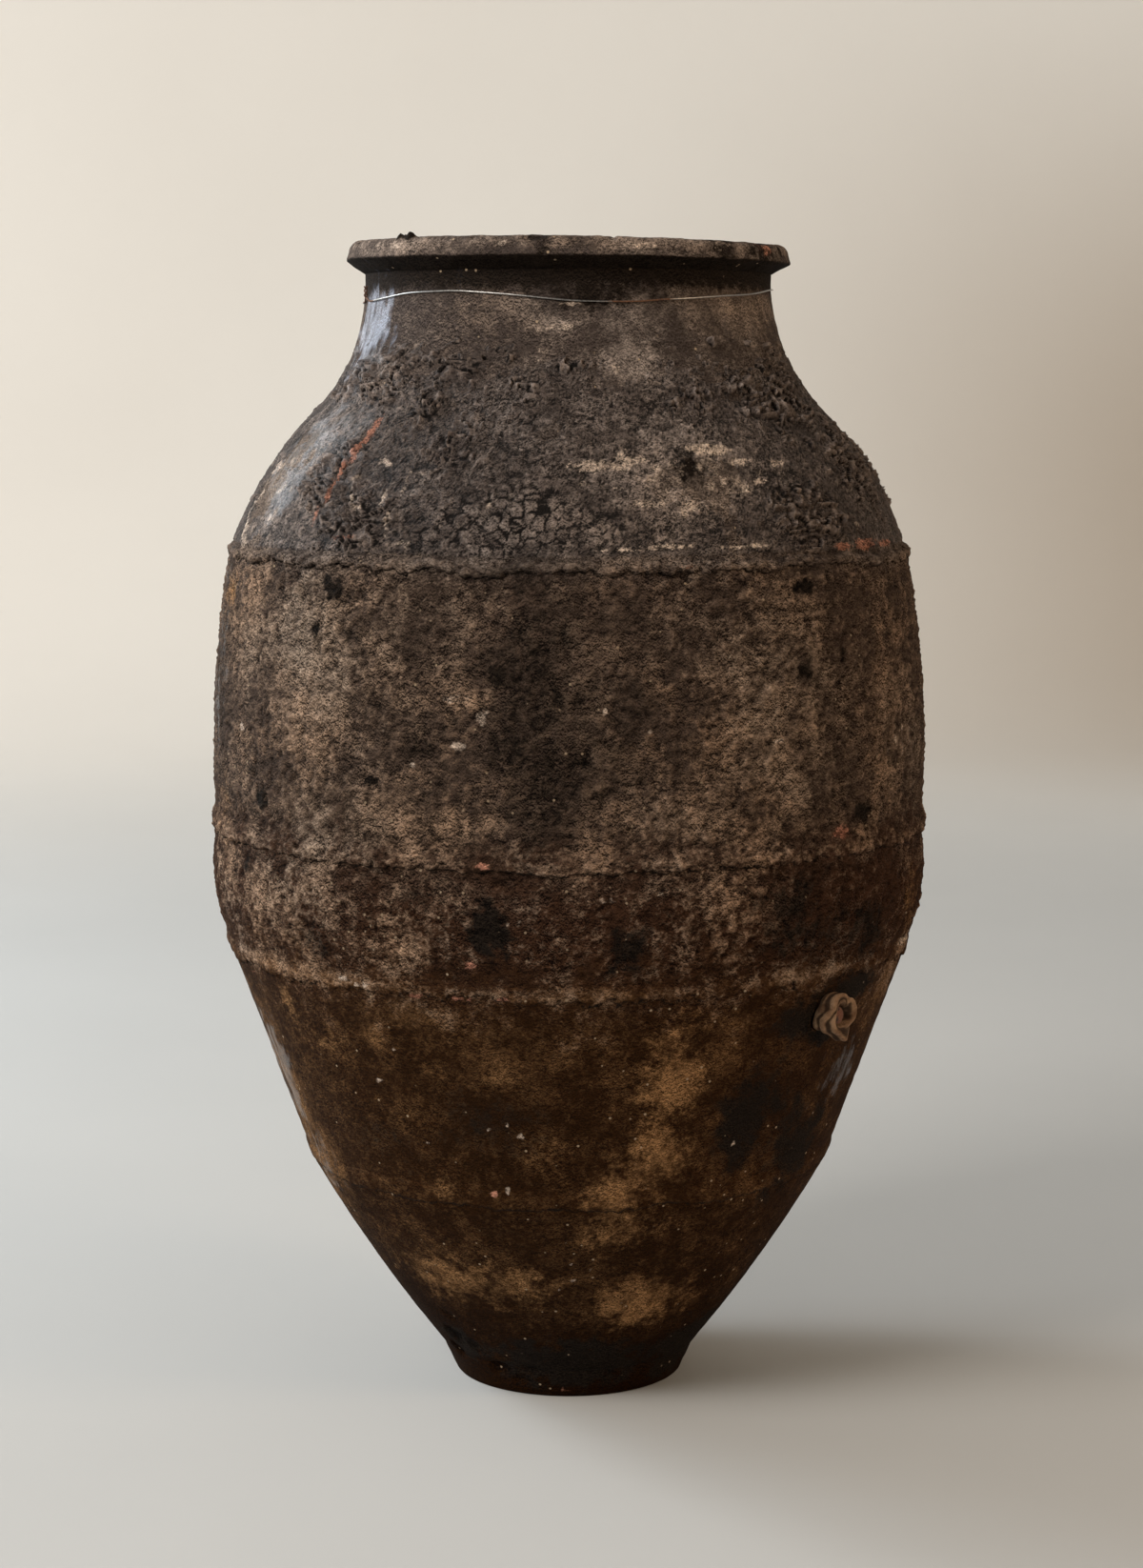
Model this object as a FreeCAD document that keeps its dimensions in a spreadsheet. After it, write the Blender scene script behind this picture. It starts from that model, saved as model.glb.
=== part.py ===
"""Tall unglazed olive jar, built up in lifts with clay bands over the seams.

The jar stands on the XY plane with its axis on Z, and its tap hole faces +X. Lengths are in millimetres.
"""
import FreeCAD, Part
import math
import os
import Sketcher
from collections import namedtuple
from types import SimpleNamespace

SIZES = {
    # Heights of the lifts, from the foot up
    "base_thickness": 22,
    "lower_height": 146,
    "lower_belly_height": 149,
    "belly_height": 85,
    "upper_belly_height": 188,
    "shoulder_height": 145,
    "neck_height": 45,
    "rim_height": 20,
    # Outer radii at the foot, the belly seam and the throat
    "foot_radius": 81,
    "belly_radius": 249.2,
    "throat_radius": 140.8,
    # How far the wall flares out from the foot to the heel, and from the throat to the neck seam and the turn
    "heel_flare": 10,
    "neck_flare": 6.7,
    "turn_flare": 37.7,
    # How far the other seams are drawn in from the belly seam
    "lower_draw": 62.6,
    "waist_draw": 9.4,
    "shoulder_draw": 13.6,
    # Wall thickness at the seams, the turn and the throat, measured level
    "heel_wall": 26,
    "lower_wall": 19,
    "waist_wall": 16,
    "belly_wall": 16,
    "shoulder_wall": 18,
    "turn_wall": 18,
    "neck_wall": 18,
    "throat_wall": 16.5,
    # How far each wall bows out from a straight line between its seams
    "lower_bow": 3.2,
    "belly_bow": 3.6,
    "upper_belly_bow": 5.0,
    "shoulder_bow": 5.6,
    "shoulder_hollow": 3.8,
    "neck_hollow": 0.9,
    # Where the shoulder turns, and where the neck becomes upright, below the neck seam and the rim
    "turn_drop": 51,
    "throat_height": 12,
    # The seams slope so that each lift sits inside the one above
    "scarf_rise": 8,
    "floor_dish": 14,
    # Clay bands over the seams: height, how proud they stand and the slope of the wall behind them
    "lower_band_height": 18,
    "lower_band_proud": 2.6,
    "lower_seam_lean": 0.36,
    "waist_band_height": 20,
    "waist_band_proud": 3.2,
    "waist_seam_lean": 0.3,
    "belly_band_height": 25,
    "belly_band_proud": 3.6,
    "belly_seam_lean": 0.03,
    "shoulder_band_height": 12,
    "shoulder_band_proud": 3.4,
    "shoulder_seam_lean": 0.29,
    # Rim
    "rim_overhang": 13.2,
    "rim_underside_rise": 8,
    "rim_face_draw": 1.8,
    "rim_outer_round": 7,
    "mouth_round": 4,
    # Pitch inside and over the shoulder
    "lining_thickness": 1.2,
    "coat_thickness": 2.2,
    "skin_gap": 0.2,
    # Tap hole, peg and rag
    "tap_hole_radius": 12.5,
    "tap_margin": 1.5,
    "tap_clearance": 0.35,
    "lining_hole_margin": 1,
    "peg_head_radius": 5.6,
    "peg_taper": 0.03,
    "peg_crown": 0.8,
    "peg_recess": 3,
    "peg_tail": 8,
    "wrap_gap": 0.1,
    "rag_skirt_radius": 16,
    "rag_ring_radius": 11.4,
    "rag_fold_depth": 2.2,
    "rag_reach": 15,
    "rag_tuck": 8,
    "rag_tail_in": 5,
    "rag_tongue_length": 20,
    "rag_tongue_width": 9,
    "rag_tongue_setback": 4.8,
    "rag_cloth_thickness": 1.6,
    "seat_cut_reach": 40,
    "seat_cut_depth": 32,
    # Wire round the neck
    "wire_diameter": 1.1,
    "wire_gap": 0.25,
    "twist_radius": 0.9,
    "twist_pitch": 6,
    "twist_lead": 4.5,
    "twist_foot_rise": 2.7,
}

# Heights of the wire above the foot of the throat, round the neck from its twist, in degrees from the tap
WIRE_TWIST_ANGLE = -123
WIRE_ROUTE = (
    (-110, -6.5),
    (-95, -3),
    (-80, -2),
    (-64, -4.5),
    (-46, -9),
    (-28, -9.5),
    (-8, -6),
    (12, -3),
    (28, 1),
    (52, 2.5),
    (80, -1),
    (110, -6),
    (140, -8),
    (170, -3),
    (198, -4.5),
    (222, -8),
)
TWIST_QUARTERS = 5
WIRE_SIDES = 6
# Stretches of the wire closer along it than this many diameters touch by nature, and are not compared
WIRE_GAP_SPAN = 4
WIRE_GAP_CELL = 3

# Edges of the cloth's folds round the peg, in degrees
FOLD_ANGLES = (12, 70, 118, 165, 222, 290)
# The collar's shape outside the wall, as shares of its reach and of its fold depth
COLLAR_MIDDLE = (0.4, 0.6)
COLLAR_CREST = (0.85, 0.4)
COLLAR_FRONT_FOLD = 0.3
# Edges of the loose tongue at its tip and its root, as shares of its width
TONGUE_TIP = (0.35, 0.55)
TONGUE_ROOT = 0.7

# Below these, two directions count as the same and an arc as a straight line
SAME_WAY = 1e-9
STRAIGHT = 1e-7


class Size:
    """A length together with the sheet formula that drives it."""

    def __init__(self, formula, value):
        self.formula = formula
        self.value = value

    def combine(self, sign, other, value):
        return Size(f"({self.formula} {sign} {other.formula})", value)

    def __add__(self, other):
        other = as_size(other)
        return self.combine("+", other, self.value + other.value)

    def __sub__(self, other):
        other = as_size(other)
        return self.combine("-", other, self.value - other.value)

    def __mul__(self, other):
        other = as_size(other)
        return self.combine("*", other, self.value * other.value)

    def __truediv__(self, other):
        other = as_size(other)
        return self.combine("/", other, self.value / other.value)

    def __neg__(self):
        return as_size(0) - self


def as_size(thing):
    """A plain number as a Size."""
    return thing if isinstance(thing, Size) else Size(repr(float(thing)), float(thing))


AXIS = as_size(0)
OUTWARD = 1
INWARD = -1

Seam = namedtuple("Seam", "height radius wall lean land")
Bow = namedtuple("Bow", "side rise")


def make_sheet(doc):
    """Driving dimensions, one to a row, each with its name as alias."""
    sheet = doc.addObject("Spreadsheet::Sheet", "Sizes")
    for row, (name, value) in enumerate(SIZES.items(), start=1):
        sheet.set(f"A{row}", name)
        sheet.set(f"B{row}", str(value))
        sheet.setAlias(f"B{row}", name)
    doc.recompute()
    return SimpleNamespace(**{name: Size(f"Sizes.{name}", float(sheet.get(name))) for name in SIZES})


def make_body(doc, label, height=None):
    """Body of one piece, lifted to a height on the jar's axis where one is given."""
    body = doc.addObject("PartDesign::Body", label)
    body.Label = label
    if height is not None:
        body.Placement = FreeCAD.Placement(FreeCAD.Vector(0, 0, height.value), FreeCAD.Rotation())
        body.setExpression("Placement.Base.z", height.formula)
    return body


def make_sketch(body, name, plane, offset=None):
    """Sketch on one of the body's own planes, moved along its normal where an offset is given."""
    sketch = body.newObject("Sketcher::SketchObject", name)
    sketch.AttachmentSupport = [(item, "") for item in body.Origin.OriginFeatures if item.Role == plane]
    sketch.MapMode = "FlatFace"
    if offset is not None:
        sketch.AttachmentOffset = FreeCAD.Placement(FreeCAD.Vector(0, 0, offset.value), FreeCAD.Rotation())
        sketch.setExpression("AttachmentOffset.Base.z", offset.formula)
    return sketch


def constrain(sketch, size, kind, *where):
    """Dimension bound to a size."""
    index = sketch.addConstraint(Sketcher.Constraint(kind, *where, size.value))
    sketch.setExpression(f"Constraints[{index}]", size.formula)


def pin_point(sketch, edge, end, across, up):
    """Place the end of an edge, on an axis where its distance is zero."""
    for size, kind, axis in ((across, "DistanceX", -2), (up, "DistanceY", -1)):
        if size is AXIS:
            sketch.addConstraint(Sketcher.Constraint("PointOnObject", edge, end, axis))
        else:
            constrain(sketch, size, kind, -1, 1, edge, end)


def draw_outline(sketch, corners):
    """Closed outline through corners (across, up, bow), run anticlockwise.

    A bow makes the side that starts at its corner an arc, with the rise given, to the outside or the inside.
    """
    points = [FreeCAD.Vector(across.value, up.value, 0) for across, up, _ in corners]
    sides = []
    for index, (_, _, bow) in enumerate(corners):
        start = points[index]
        end = points[(index + 1) % len(points)]
        if bow is None:
            sides.append((sketch.addGeometry(Part.LineSegment(start, end)), 1, 2))
            continue
        run = end - start
        outside = FreeCAD.Vector(run.y, -run.x, 0).normalize()
        middle = (start + end) * 0.5 + outside * (bow.rise.value * bow.side)
        if bow.side == OUTWARD:
            sides.append((sketch.addGeometry(Part.Arc(start, middle, end)), 1, 2))
        else:
            sides.append((sketch.addGeometry(Part.Arc(end, middle, start)), 2, 1))
    for index, (across, up, bow) in enumerate(corners):
        edge, first, last = sides[index]
        next_edge, next_first, _ = sides[(index + 1) % len(sides)]
        sketch.addConstraint(Sketcher.Constraint("Coincident", edge, last, next_edge, next_first))
        pin_point(sketch, edge, first, across, up)
        if bow is not None:
            next_across, next_up, _ = corners[(index + 1) % len(corners)]
            run = next_across - across
            climb = next_up - up
            constrain(sketch, (run * run + climb * climb) / (bow.rise * 8) + bow.rise / 2, "Radius", edge)


def turn(body, name, corners, axis="V_Axis", kind="PartDesign::Revolution"):
    """Turn an outline in the upright plane round one of its axes, as a solid or as a cut."""
    sketch = make_sketch(body, name + "_outline", "XZ_Plane")
    draw_outline(sketch, corners)
    feature = body.newObject(kind, name)
    feature.Profile = sketch
    feature.ReferenceAxis = (sketch, [axis])
    feature.Angle = 360
    return feature


def bore_side(body, height, radius, depth):
    """Round hole from the jar's axis out through the +X side."""
    sketch = make_sketch(body, "tap_hole_outline", "YZ_Plane")
    centre = FreeCAD.Vector(0, height.value, 0)
    circle = sketch.addGeometry(Part.Circle(centre, FreeCAD.Vector(0, 0, 1), radius.value))
    sketch.addConstraint(Sketcher.Constraint("PointOnObject", circle, 3, -2))
    constrain(sketch, height, "DistanceY", -1, 1, circle, 3)
    constrain(sketch, radius, "Radius", circle)
    hole = body.newObject("PartDesign::Pocket", "tap_hole")
    hole.Profile = sketch
    hole.Type = "Length"
    hole.Length = depth.value
    hole.setExpression("Length", depth.formula)
    hole.Reversed = True


def land_above(seam):
    """Top edge of the straight stretch of wall behind a band."""
    return seam.radius + seam.lean * seam.land, seam.height + seam.land


def land_below(seam):
    """Bottom edge of the straight stretch of wall behind a band."""
    return seam.radius - seam.lean * seam.land, seam.height - seam.land


def inner_edge(jar, seam):
    """Where a sloping seam meets the inside of the wall."""
    return seam.radius - seam.wall, seam.height + jar.scarf_rise


def make_seams(jar):
    """The seams between the lifts, from the heel up."""
    level = SimpleNamespace()
    level.heel = jar.base_thickness
    level.lower = level.heel + jar.lower_height
    level.waist = level.lower + jar.lower_belly_height
    level.belly = level.waist + jar.belly_height
    level.shoulder = level.belly + jar.upper_belly_height
    level.neck = level.shoulder + jar.shoulder_height
    level.rim = level.neck + jar.neck_height
    radius = SimpleNamespace()
    radius.lower = jar.belly_radius - jar.lower_draw
    radius.waist = jar.belly_radius - jar.waist_draw
    radius.shoulder = jar.belly_radius - jar.shoulder_draw
    land = SimpleNamespace()
    land.lower = jar.lower_band_height / 2
    land.waist = jar.waist_band_height / 2
    land.belly = jar.belly_band_height / 2
    land.shoulder = jar.shoulder_band_height / 2
    seams = SimpleNamespace()
    seams.heel = Seam(level.heel, jar.foot_radius + jar.heel_flare, jar.heel_wall, None, None)
    seams.lower = Seam(level.lower, radius.lower, jar.lower_wall, jar.lower_seam_lean, land.lower)
    seams.waist = Seam(level.waist, radius.waist, jar.waist_wall, jar.waist_seam_lean, land.waist)
    seams.belly = Seam(level.belly, jar.belly_radius, jar.belly_wall, -jar.belly_seam_lean, land.belly)
    draw_in = -jar.shoulder_seam_lean
    seams.shoulder = Seam(level.shoulder, radius.shoulder, jar.shoulder_wall, draw_in, land.shoulder)
    seams.neck = Seam(level.neck, jar.throat_radius + jar.neck_flare, jar.neck_wall, None, None)
    seams.rim = Seam(level.rim, jar.throat_radius, jar.throat_wall, None, None)
    return seams


def turn_radius(jar):
    """Outside of the wall where the shoulder turns into the neck."""
    return jar.throat_radius + jar.turn_flare


def mouth_radius(jar):
    """Inside of the throat and the rim."""
    return jar.throat_radius - jar.throat_wall


def throat_foot(jar, seams):
    """Height at which the neck becomes upright."""
    return seams.rim.height - jar.throat_height


def make_wall(doc, jar, label, bottom, top, bow):
    """One lift of the wall between two seams, straight where bow is None."""
    bowed_out = None if bow is None else Bow(OUTWARD, bow)
    bowed_in = None if bow is None else Bow(INWARD, bow)
    corners = [(bottom.radius, bottom.height, bowed_out if bottom.land is None else None)]
    if bottom.land is not None:
        corners.append((*land_above(bottom), bowed_out))
    corners.append((*land_below(top), None))
    corners.append((top.radius, top.height, None))
    corners.append((*inner_edge(jar, top), bowed_in))
    corners.append((*inner_edge(jar, bottom), None))
    body = make_body(doc, label)
    turn(body, "wall", corners)
    return body


def make_base(doc, jar, seams):
    """Floor of the jar, dished up at its edge to meet the first lift."""
    edge, edge_height = inner_edge(jar, seams.heel)
    corners = (
        (AXIS, AXIS, None),
        (jar.foot_radius, AXIS, None),
        (seams.heel.radius, seams.heel.height, None),
        (edge, edge_height, None),
        (edge - jar.floor_dish, seams.heel.height, None),
        (AXIS, seams.heel.height, None),
    )
    turn(make_body(doc, "base_disc"), "disc", corners)


def shoulder_line(jar, seams, shift):
    """Outside of the shoulder from the top of its band to the neck, moved out by a shift."""
    foot, foot_height = land_above(seams.shoulder)
    return (
        (foot + shift, foot_height),
        (turn_radius(jar) + shift, seams.neck.height - jar.turn_drop),
        (seams.neck.radius + shift, seams.neck.height),
    )


def shoulder_inside(jar, seams, shift):
    """Inside of the shoulder from the neck down to its band, moved in by a shift."""
    top, top_height = inner_edge(jar, seams.neck)
    foot, foot_height = inner_edge(jar, seams.shoulder)
    turn_height = seams.neck.height - jar.turn_drop + jar.scarf_rise
    return (
        (top - shift, top_height, Bow(OUTWARD, jar.shoulder_hollow)),
        (turn_radius(jar) - jar.turn_wall - shift, turn_height, Bow(INWARD, jar.shoulder_bow)),
        (foot - shift, foot_height),
    )


def make_shoulder(doc, jar, seams):
    """Shoulder, rounded out above its band and hollow below the neck."""
    foot, bend, top = shoulder_line(jar, seams, AXIS)
    inside = shoulder_inside(jar, seams, AXIS)
    corners = (
        (seams.shoulder.radius, seams.shoulder.height, None),
        (*foot, Bow(OUTWARD, jar.shoulder_bow)),
        (*bend, Bow(INWARD, jar.shoulder_hollow)),
        (*top, None),
        inside[0],
        inside[1],
        (*inside[2], None),
    )
    turn(make_body(doc, "shoulder_section"), "shoulder", corners)


def make_neck(doc, jar, seams):
    """Short neck, hollow below and upright under the rim."""
    mouth = mouth_radius(jar)
    upright = throat_foot(jar, seams)
    corners = (
        (seams.neck.radius, seams.neck.height, Bow(INWARD, jar.neck_hollow)),
        (jar.throat_radius, upright, None),
        (jar.throat_radius, seams.rim.height, None),
        (mouth, seams.rim.height, None),
        (mouth, upright, Bow(OUTWARD, jar.neck_hollow)),
        (*inner_edge(jar, seams.neck), None),
    )
    turn(make_body(doc, "neck_section"), "neck", corners)


def make_rim(doc, jar, seams):
    """Overhanging rim with a sloping underside, rounded over its outer and inner edges."""
    foot = seams.rim.height
    top = foot + jar.rim_height
    lip = jar.throat_radius + jar.rim_overhang
    face = lip - jar.rim_face_draw
    mouth = mouth_radius(jar)
    quarter_rise = 1 - math.sqrt(0.5)
    corners = (
        (jar.throat_radius, foot, None),
        (lip, foot + jar.rim_underside_rise, None),
        (face, top - jar.rim_outer_round, Bow(OUTWARD, jar.rim_outer_round * quarter_rise)),
        (face - jar.rim_outer_round, top, None),
        (mouth + jar.mouth_round, top, Bow(OUTWARD, jar.mouth_round * quarter_rise)),
        (mouth, top - jar.mouth_round, None),
        (mouth, foot, None),
    )
    turn(make_body(doc, "rim_ring"), "rim", corners)


def make_band(doc, label, seam, proud):
    """Clay strip pressed over a seam, thickest in the middle and thinned out to its edges."""
    corners = ((*land_below(seam), Bow(OUTWARD, proud)), (*land_above(seam), None))
    turn(make_body(doc, label), "band", corners)


def make_coat(doc, jar, seams):
    """Pitch that ran over the shoulder and set."""
    inner = shoulder_line(jar, seams, jar.skin_gap)
    outer = shoulder_line(jar, seams, jar.skin_gap + jar.coat_thickness)
    corners = (
        (*outer[0], Bow(OUTWARD, jar.shoulder_bow)),
        (*outer[1], Bow(INWARD, jar.shoulder_hollow)),
        (*outer[2], None),
        (*inner[2], Bow(OUTWARD, jar.shoulder_hollow)),
        (*inner[1], Bow(INWARD, jar.shoulder_bow)),
        (*inner[0], None),
    )
    turn(make_body(doc, "shoulder_pitch_coat"), "coat", corners)


def lining_line(jar, seams, shift):
    """Inside of the jar from the foot of the throat to the middle of the floor, moved in by a shift."""
    neck, bend, shoulder = shoulder_inside(jar, seams, shift)
    belly, belly_height = inner_edge(jar, seams.belly)
    waist, waist_height = inner_edge(jar, seams.waist)
    lower, lower_height = inner_edge(jar, seams.lower)
    heel, heel_height = inner_edge(jar, seams.heel)
    return [
        (mouth_radius(jar) - shift, throat_foot(jar, seams), Bow(OUTWARD, jar.neck_hollow)),
        neck,
        bend,
        (*shoulder, Bow(INWARD, jar.upper_belly_bow)),
        (belly - shift, belly_height, Bow(INWARD, jar.belly_bow)),
        (waist - shift, waist_height, None),
        (lower - shift, lower_height, Bow(INWARD, jar.lower_bow)),
        (heel - shift, heel_height + shift, None),
        (heel - jar.floor_dish - shift, seams.heel.height + shift, None),
        (AXIS, seams.heel.height + shift, None),
    ]


def reverse_line(line):
    """The same run of corners walked the other way, with each bow on its other side."""
    bows = [bow and Bow(-bow.side, bow.rise) for _, _, bow in line]
    places = [(across, up) for across, up, _ in line]
    walked = []
    for index in range(len(places) - 1, -1, -1):
        walked.append((*places[index], bows[index - 1] if index > 0 else None))
    return walked


def make_lining(doc, jar, seams, tap):
    """Pitch inside the jar, from below the throat to the floor, open at the tap."""
    outer = reverse_line(lining_line(jar, seams, jar.skin_gap))
    inner = lining_line(jar, seams, jar.skin_gap + jar.lining_thickness)
    body = make_body(doc, "pitch_lining")
    turn(body, "lining", outer + inner)
    bore_side(body, tap.height, jar.tap_hole_radius + jar.lining_hole_margin, tap.outside)


def place_tap(jar, seams):
    """Height of the tap below the waist band, and where its axis meets the wall."""
    tap = SimpleNamespace()
    tap.height = seams.waist.height - seams.waist.land - jar.tap_margin - jar.rag_skirt_radius
    low, low_height = land_above(seams.lower)
    high, high_height = land_below(seams.waist)
    tap.lean = (high - low) / (high_height - low_height)
    tap.outside = low + tap.lean * (tap.height - low_height)
    foot, foot_height = inner_edge(jar, seams.lower)
    head, head_height = inner_edge(jar, seams.waist)
    tap.inside = foot + (head - foot) * ((tap.height - foot_height) / (head_height - foot_height))
    tap.front = tap.outside + jar.rag_reach
    tap.peg_front = tap.front - jar.peg_recess
    tap.rag_back = tap.inside - jar.rag_tail_in
    tap.peg_back = tap.rag_back - jar.peg_tail
    return tap


def peg_radius(jar, tap, place, gap):
    """Radius of the tapered peg at a place along the tap, widened by a gap."""
    return jar.peg_head_radius - jar.peg_taper * (tap.peg_front - place) + gap


def make_peg(doc, jar, tap):
    """Tapered wooden peg with a slightly rounded head."""
    corners = (
        (tap.peg_back, AXIS, None),
        (tap.peg_front + jar.peg_crown, AXIS, None),
        (tap.peg_front, jar.peg_head_radius, None),
        (tap.peg_back, peg_radius(jar, tap, tap.peg_back, AXIS), None),
    )
    turn(make_body(doc, "tap_peg", tap.height), "peg", corners, axis="H_Axis")


def fold_outline(sketch, radius, fold):
    """Gathered cloth seen end on: a crest for each fold between two creases."""
    corners = []
    for index, angle in enumerate(FOLD_ANGLES):
        span = (FOLD_ANGLES[(index + 1) % len(FOLD_ANGLES)] - angle) % 360
        for turned, reach in ((angle, radius), (angle + span / 2, radius + fold)):
            place = math.radians(turned)
            corners.append((reach * math.cos(place), reach * math.sin(place), None))
    draw_outline(sketch, corners)


def make_rag(doc, jar, tap):
    """Sackcloth wound round the peg: a gathered collar outside, a sleeve in the hole and a loose tongue."""
    body = make_body(doc, "tap_rag", tap.height)
    ring = jar.rag_ring_radius
    stations = [(tap.outside - jar.rag_tuck, jar.rag_skirt_radius - jar.rag_fold_depth, jar.rag_fold_depth)]
    for reach_share, fold_share in (COLLAR_MIDDLE, COLLAR_CREST):
        stations.append((tap.outside + jar.rag_reach * reach_share, ring, jar.rag_fold_depth * fold_share))
    stations.append((tap.front, ring - jar.rag_cloth_thickness, jar.rag_fold_depth * COLLAR_FRONT_FOLD))
    sections = []
    for index, (place, radius, fold) in enumerate(stations):
        sketch = make_sketch(body, f"fold_{index}", "YZ_Plane", place)
        fold_outline(sketch, radius, fold)
        sections.append(sketch)
    collar = body.newObject("PartDesign::AdditiveLoft", "collar")
    collar.Profile = sections[0]
    collar.Sections = sections[1:]
    collar.Ruled = True

    tongue = make_sketch(body, "tongue_outline", "YZ_Plane", tap.front - jar.rag_tongue_setback)
    root = ring / 2
    near_tip, far_tip = TONGUE_TIP
    corners = (
        (root, AXIS, None),
        (root + jar.rag_tongue_width * near_tip, -jar.rag_tongue_length, None),
        (root + jar.rag_tongue_width * far_tip, -jar.rag_tongue_length, None),
        (root + jar.rag_tongue_width * TONGUE_ROOT, AXIS, None),
    )
    draw_outline(tongue, corners)
    pad = body.newObject("PartDesign::Pad", "tongue")
    pad.Profile = tongue
    pad.Length = jar.rag_cloth_thickness.value
    pad.setExpression("Length", jar.rag_cloth_thickness.formula)

    seat = tap.outside + jar.tap_clearance
    reach = jar.seat_cut_reach
    low = seat - tap.lean * reach
    high = seat + tap.lean * reach
    turn(
        body,
        "seat",
        (
            (low - jar.seat_cut_depth, -reach, None),
            (low, -reach, None),
            (high, reach, None),
            (high - jar.seat_cut_depth, reach, None),
        ),
        kind="PartDesign::Groove",
    )
    sleeve_radius = jar.tap_hole_radius - jar.tap_clearance
    sleeve_front = tap.outside + jar.rag_reach / 2
    turn(
        body,
        "sleeve",
        (
            (tap.rag_back, AXIS, None),
            (sleeve_front, AXIS, None),
            (sleeve_front, sleeve_radius, None),
            (tap.rag_back, sleeve_radius, None),
        ),
        axis="H_Axis",
    )
    bore_back = tap.rag_back - jar.rag_cloth_thickness
    bore_front = tap.front + jar.rag_cloth_thickness
    turn(
        body,
        "peg_bore",
        (
            (bore_back, AXIS, None),
            (bore_front, AXIS, None),
            (bore_front, peg_radius(jar, tap, bore_front, jar.wrap_gap), None),
            (bore_back, peg_radius(jar, tap, bore_back, jar.wrap_gap), None),
        ),
        axis="H_Axis",
        kind="PartDesign::Groove",
    )


def biarc(start, start_way, end, end_way):
    """Two arcs that leave one point in one direction and reach another in a second direction."""
    gap = end - start
    ways = start_way + end_way
    spread = 2 * (1 - start_way.dot(end_way))
    along = gap.dot(ways)
    if spread < SAME_WAY:
        reach = gap.dot(gap) / (2 * along)
    else:
        reach = (math.sqrt(along * along + spread * gap.dot(gap)) - along) / spread
    first = start + start_way * reach
    second = end - end_way * reach
    middle = (first + second) * 0.5
    return arc_between(start, first, middle), arc_between(middle, second, end)


def arc_between(start, corner, end):
    """Arc that touches both sides of a corner at equal distances from it."""
    middle = (start + end) * 0.5
    half = (end - middle).Length
    rise = (corner - middle).Length
    if rise < STRAIGHT:
        return Part.LineSegment(start, end).toShape()
    side = (corner - start).Length
    sagitta = half * (side - half) / rise
    return Part.Arc(start, middle + (corner - middle).normalize() * sagitta, end).toShape()


def neck_surface(jar, seams):
    """Outer radius of the neck at any height on it."""
    upright = throat_foot(jar, seams).value
    low = FreeCAD.Vector(seams.neck.radius.value, 0, seams.neck.height.value)
    high = FreeCAD.Vector(jar.throat_radius.value, 0, upright)
    run = high - low
    hollow = jar.neck_hollow.value
    radius = run.dot(run) / (8 * hollow) + hollow / 2
    outside = FreeCAD.Vector(run.z, 0, -run.x).normalize()
    centre = (low + high) * 0.5 + outside * (radius - hollow)

    def radius_at(height):
        if height >= upright:
            return high.x
        return centre.x - math.sqrt(radius * radius - (height - centre.z) ** 2)

    return upright, radius_at


def twist_strand(jar, foot, outward, onward, side):
    """One strand of the twist, from its foot up, as places and directions."""
    swing = jar.twist_radius.value
    climb = jar.twist_pitch.value / (2 * math.pi)
    up = FreeCAD.Vector(0, 0, 1)
    strand = []
    for quarter in range(TWIST_QUARTERS + 1):
        spin = math.radians(90 * quarter)
        across = onward * math.cos(spin) + outward * math.sin(spin)
        turning = outward * math.cos(spin) - onward * math.sin(spin)
        place = foot + across * (swing * side) + up * (climb * spin)
        strand.append((place, (turning * (swing * side) + up * climb).normalize()))
    return strand


def wire_stations(jar, seams):
    """Places and directions along the wire: down one strand of the twist, round the neck and up the other."""
    upright, radius_at = neck_surface(jar, seams)
    stand_off = jar.wire_diameter.value / 2 + jar.wire_gap.value
    lead = jar.twist_lead.value
    level = upright + (WIRE_ROUTE[0][1] + WIRE_ROUTE[-1][1]) / 2
    place = math.radians(WIRE_TWIST_ANGLE)
    outward = FreeCAD.Vector(math.cos(place), math.sin(place), 0)
    onward = FreeCAD.Vector(-math.sin(place), math.cos(place), 0)
    beside = outward * (radius_at(level) + stand_off + jar.twist_radius.value)
    beside.z = level
    foot = beside + FreeCAD.Vector(0, 0, jar.twist_foot_rise.value)

    loop = [(beside + onward * lead, onward)]
    for index, (angle, lift) in enumerate(WIRE_ROUTE):
        before, lift_before = WIRE_ROUTE[max(index - 1, 0)]
        after, lift_after = WIRE_ROUTE[min(index + 1, len(WIRE_ROUTE) - 1)]
        height = upright + lift
        radius = radius_at(height) + stand_off
        place = math.radians(angle)
        out = FreeCAD.Vector(math.cos(place), math.sin(place), 0)
        round_neck = FreeCAD.Vector(-math.sin(place), math.cos(place), 0)
        slope = (lift_after - lift_before) / (radius * math.radians(after - before))
        flare = (radius_at(height + 1) - radius_at(height - 1)) / 2
        way = round_neck + (out * flare + FreeCAD.Vector(0, 0, 1)) * slope
        loop.append((out * radius + FreeCAD.Vector(0, 0, height), way.normalize()))
    loop.append((beside - onward * lead, onward))

    down = [(place, -way) for place, way in reversed(twist_strand(jar, foot, outward, onward, 1))]
    return down + loop + twist_strand(jar, foot, outward, onward, -1)


def wire_section(diameter, place, way):
    """Six-sided section of the wire, square to its direction."""
    upright = FreeCAD.Vector(0, 0, 1)
    facing = FreeCAD.Placement(place, FreeCAD.Rotation(upright, way))
    corners = []
    for corner in range(WIRE_SIDES + 1):
        spin = 2 * math.pi * (corner % WIRE_SIDES) / WIRE_SIDES
        corners.append(facing * (FreeCAD.Vector(math.cos(spin), math.sin(spin), 0) * (diameter / 2)))
    return Part.makePolygon(corners)


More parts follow.
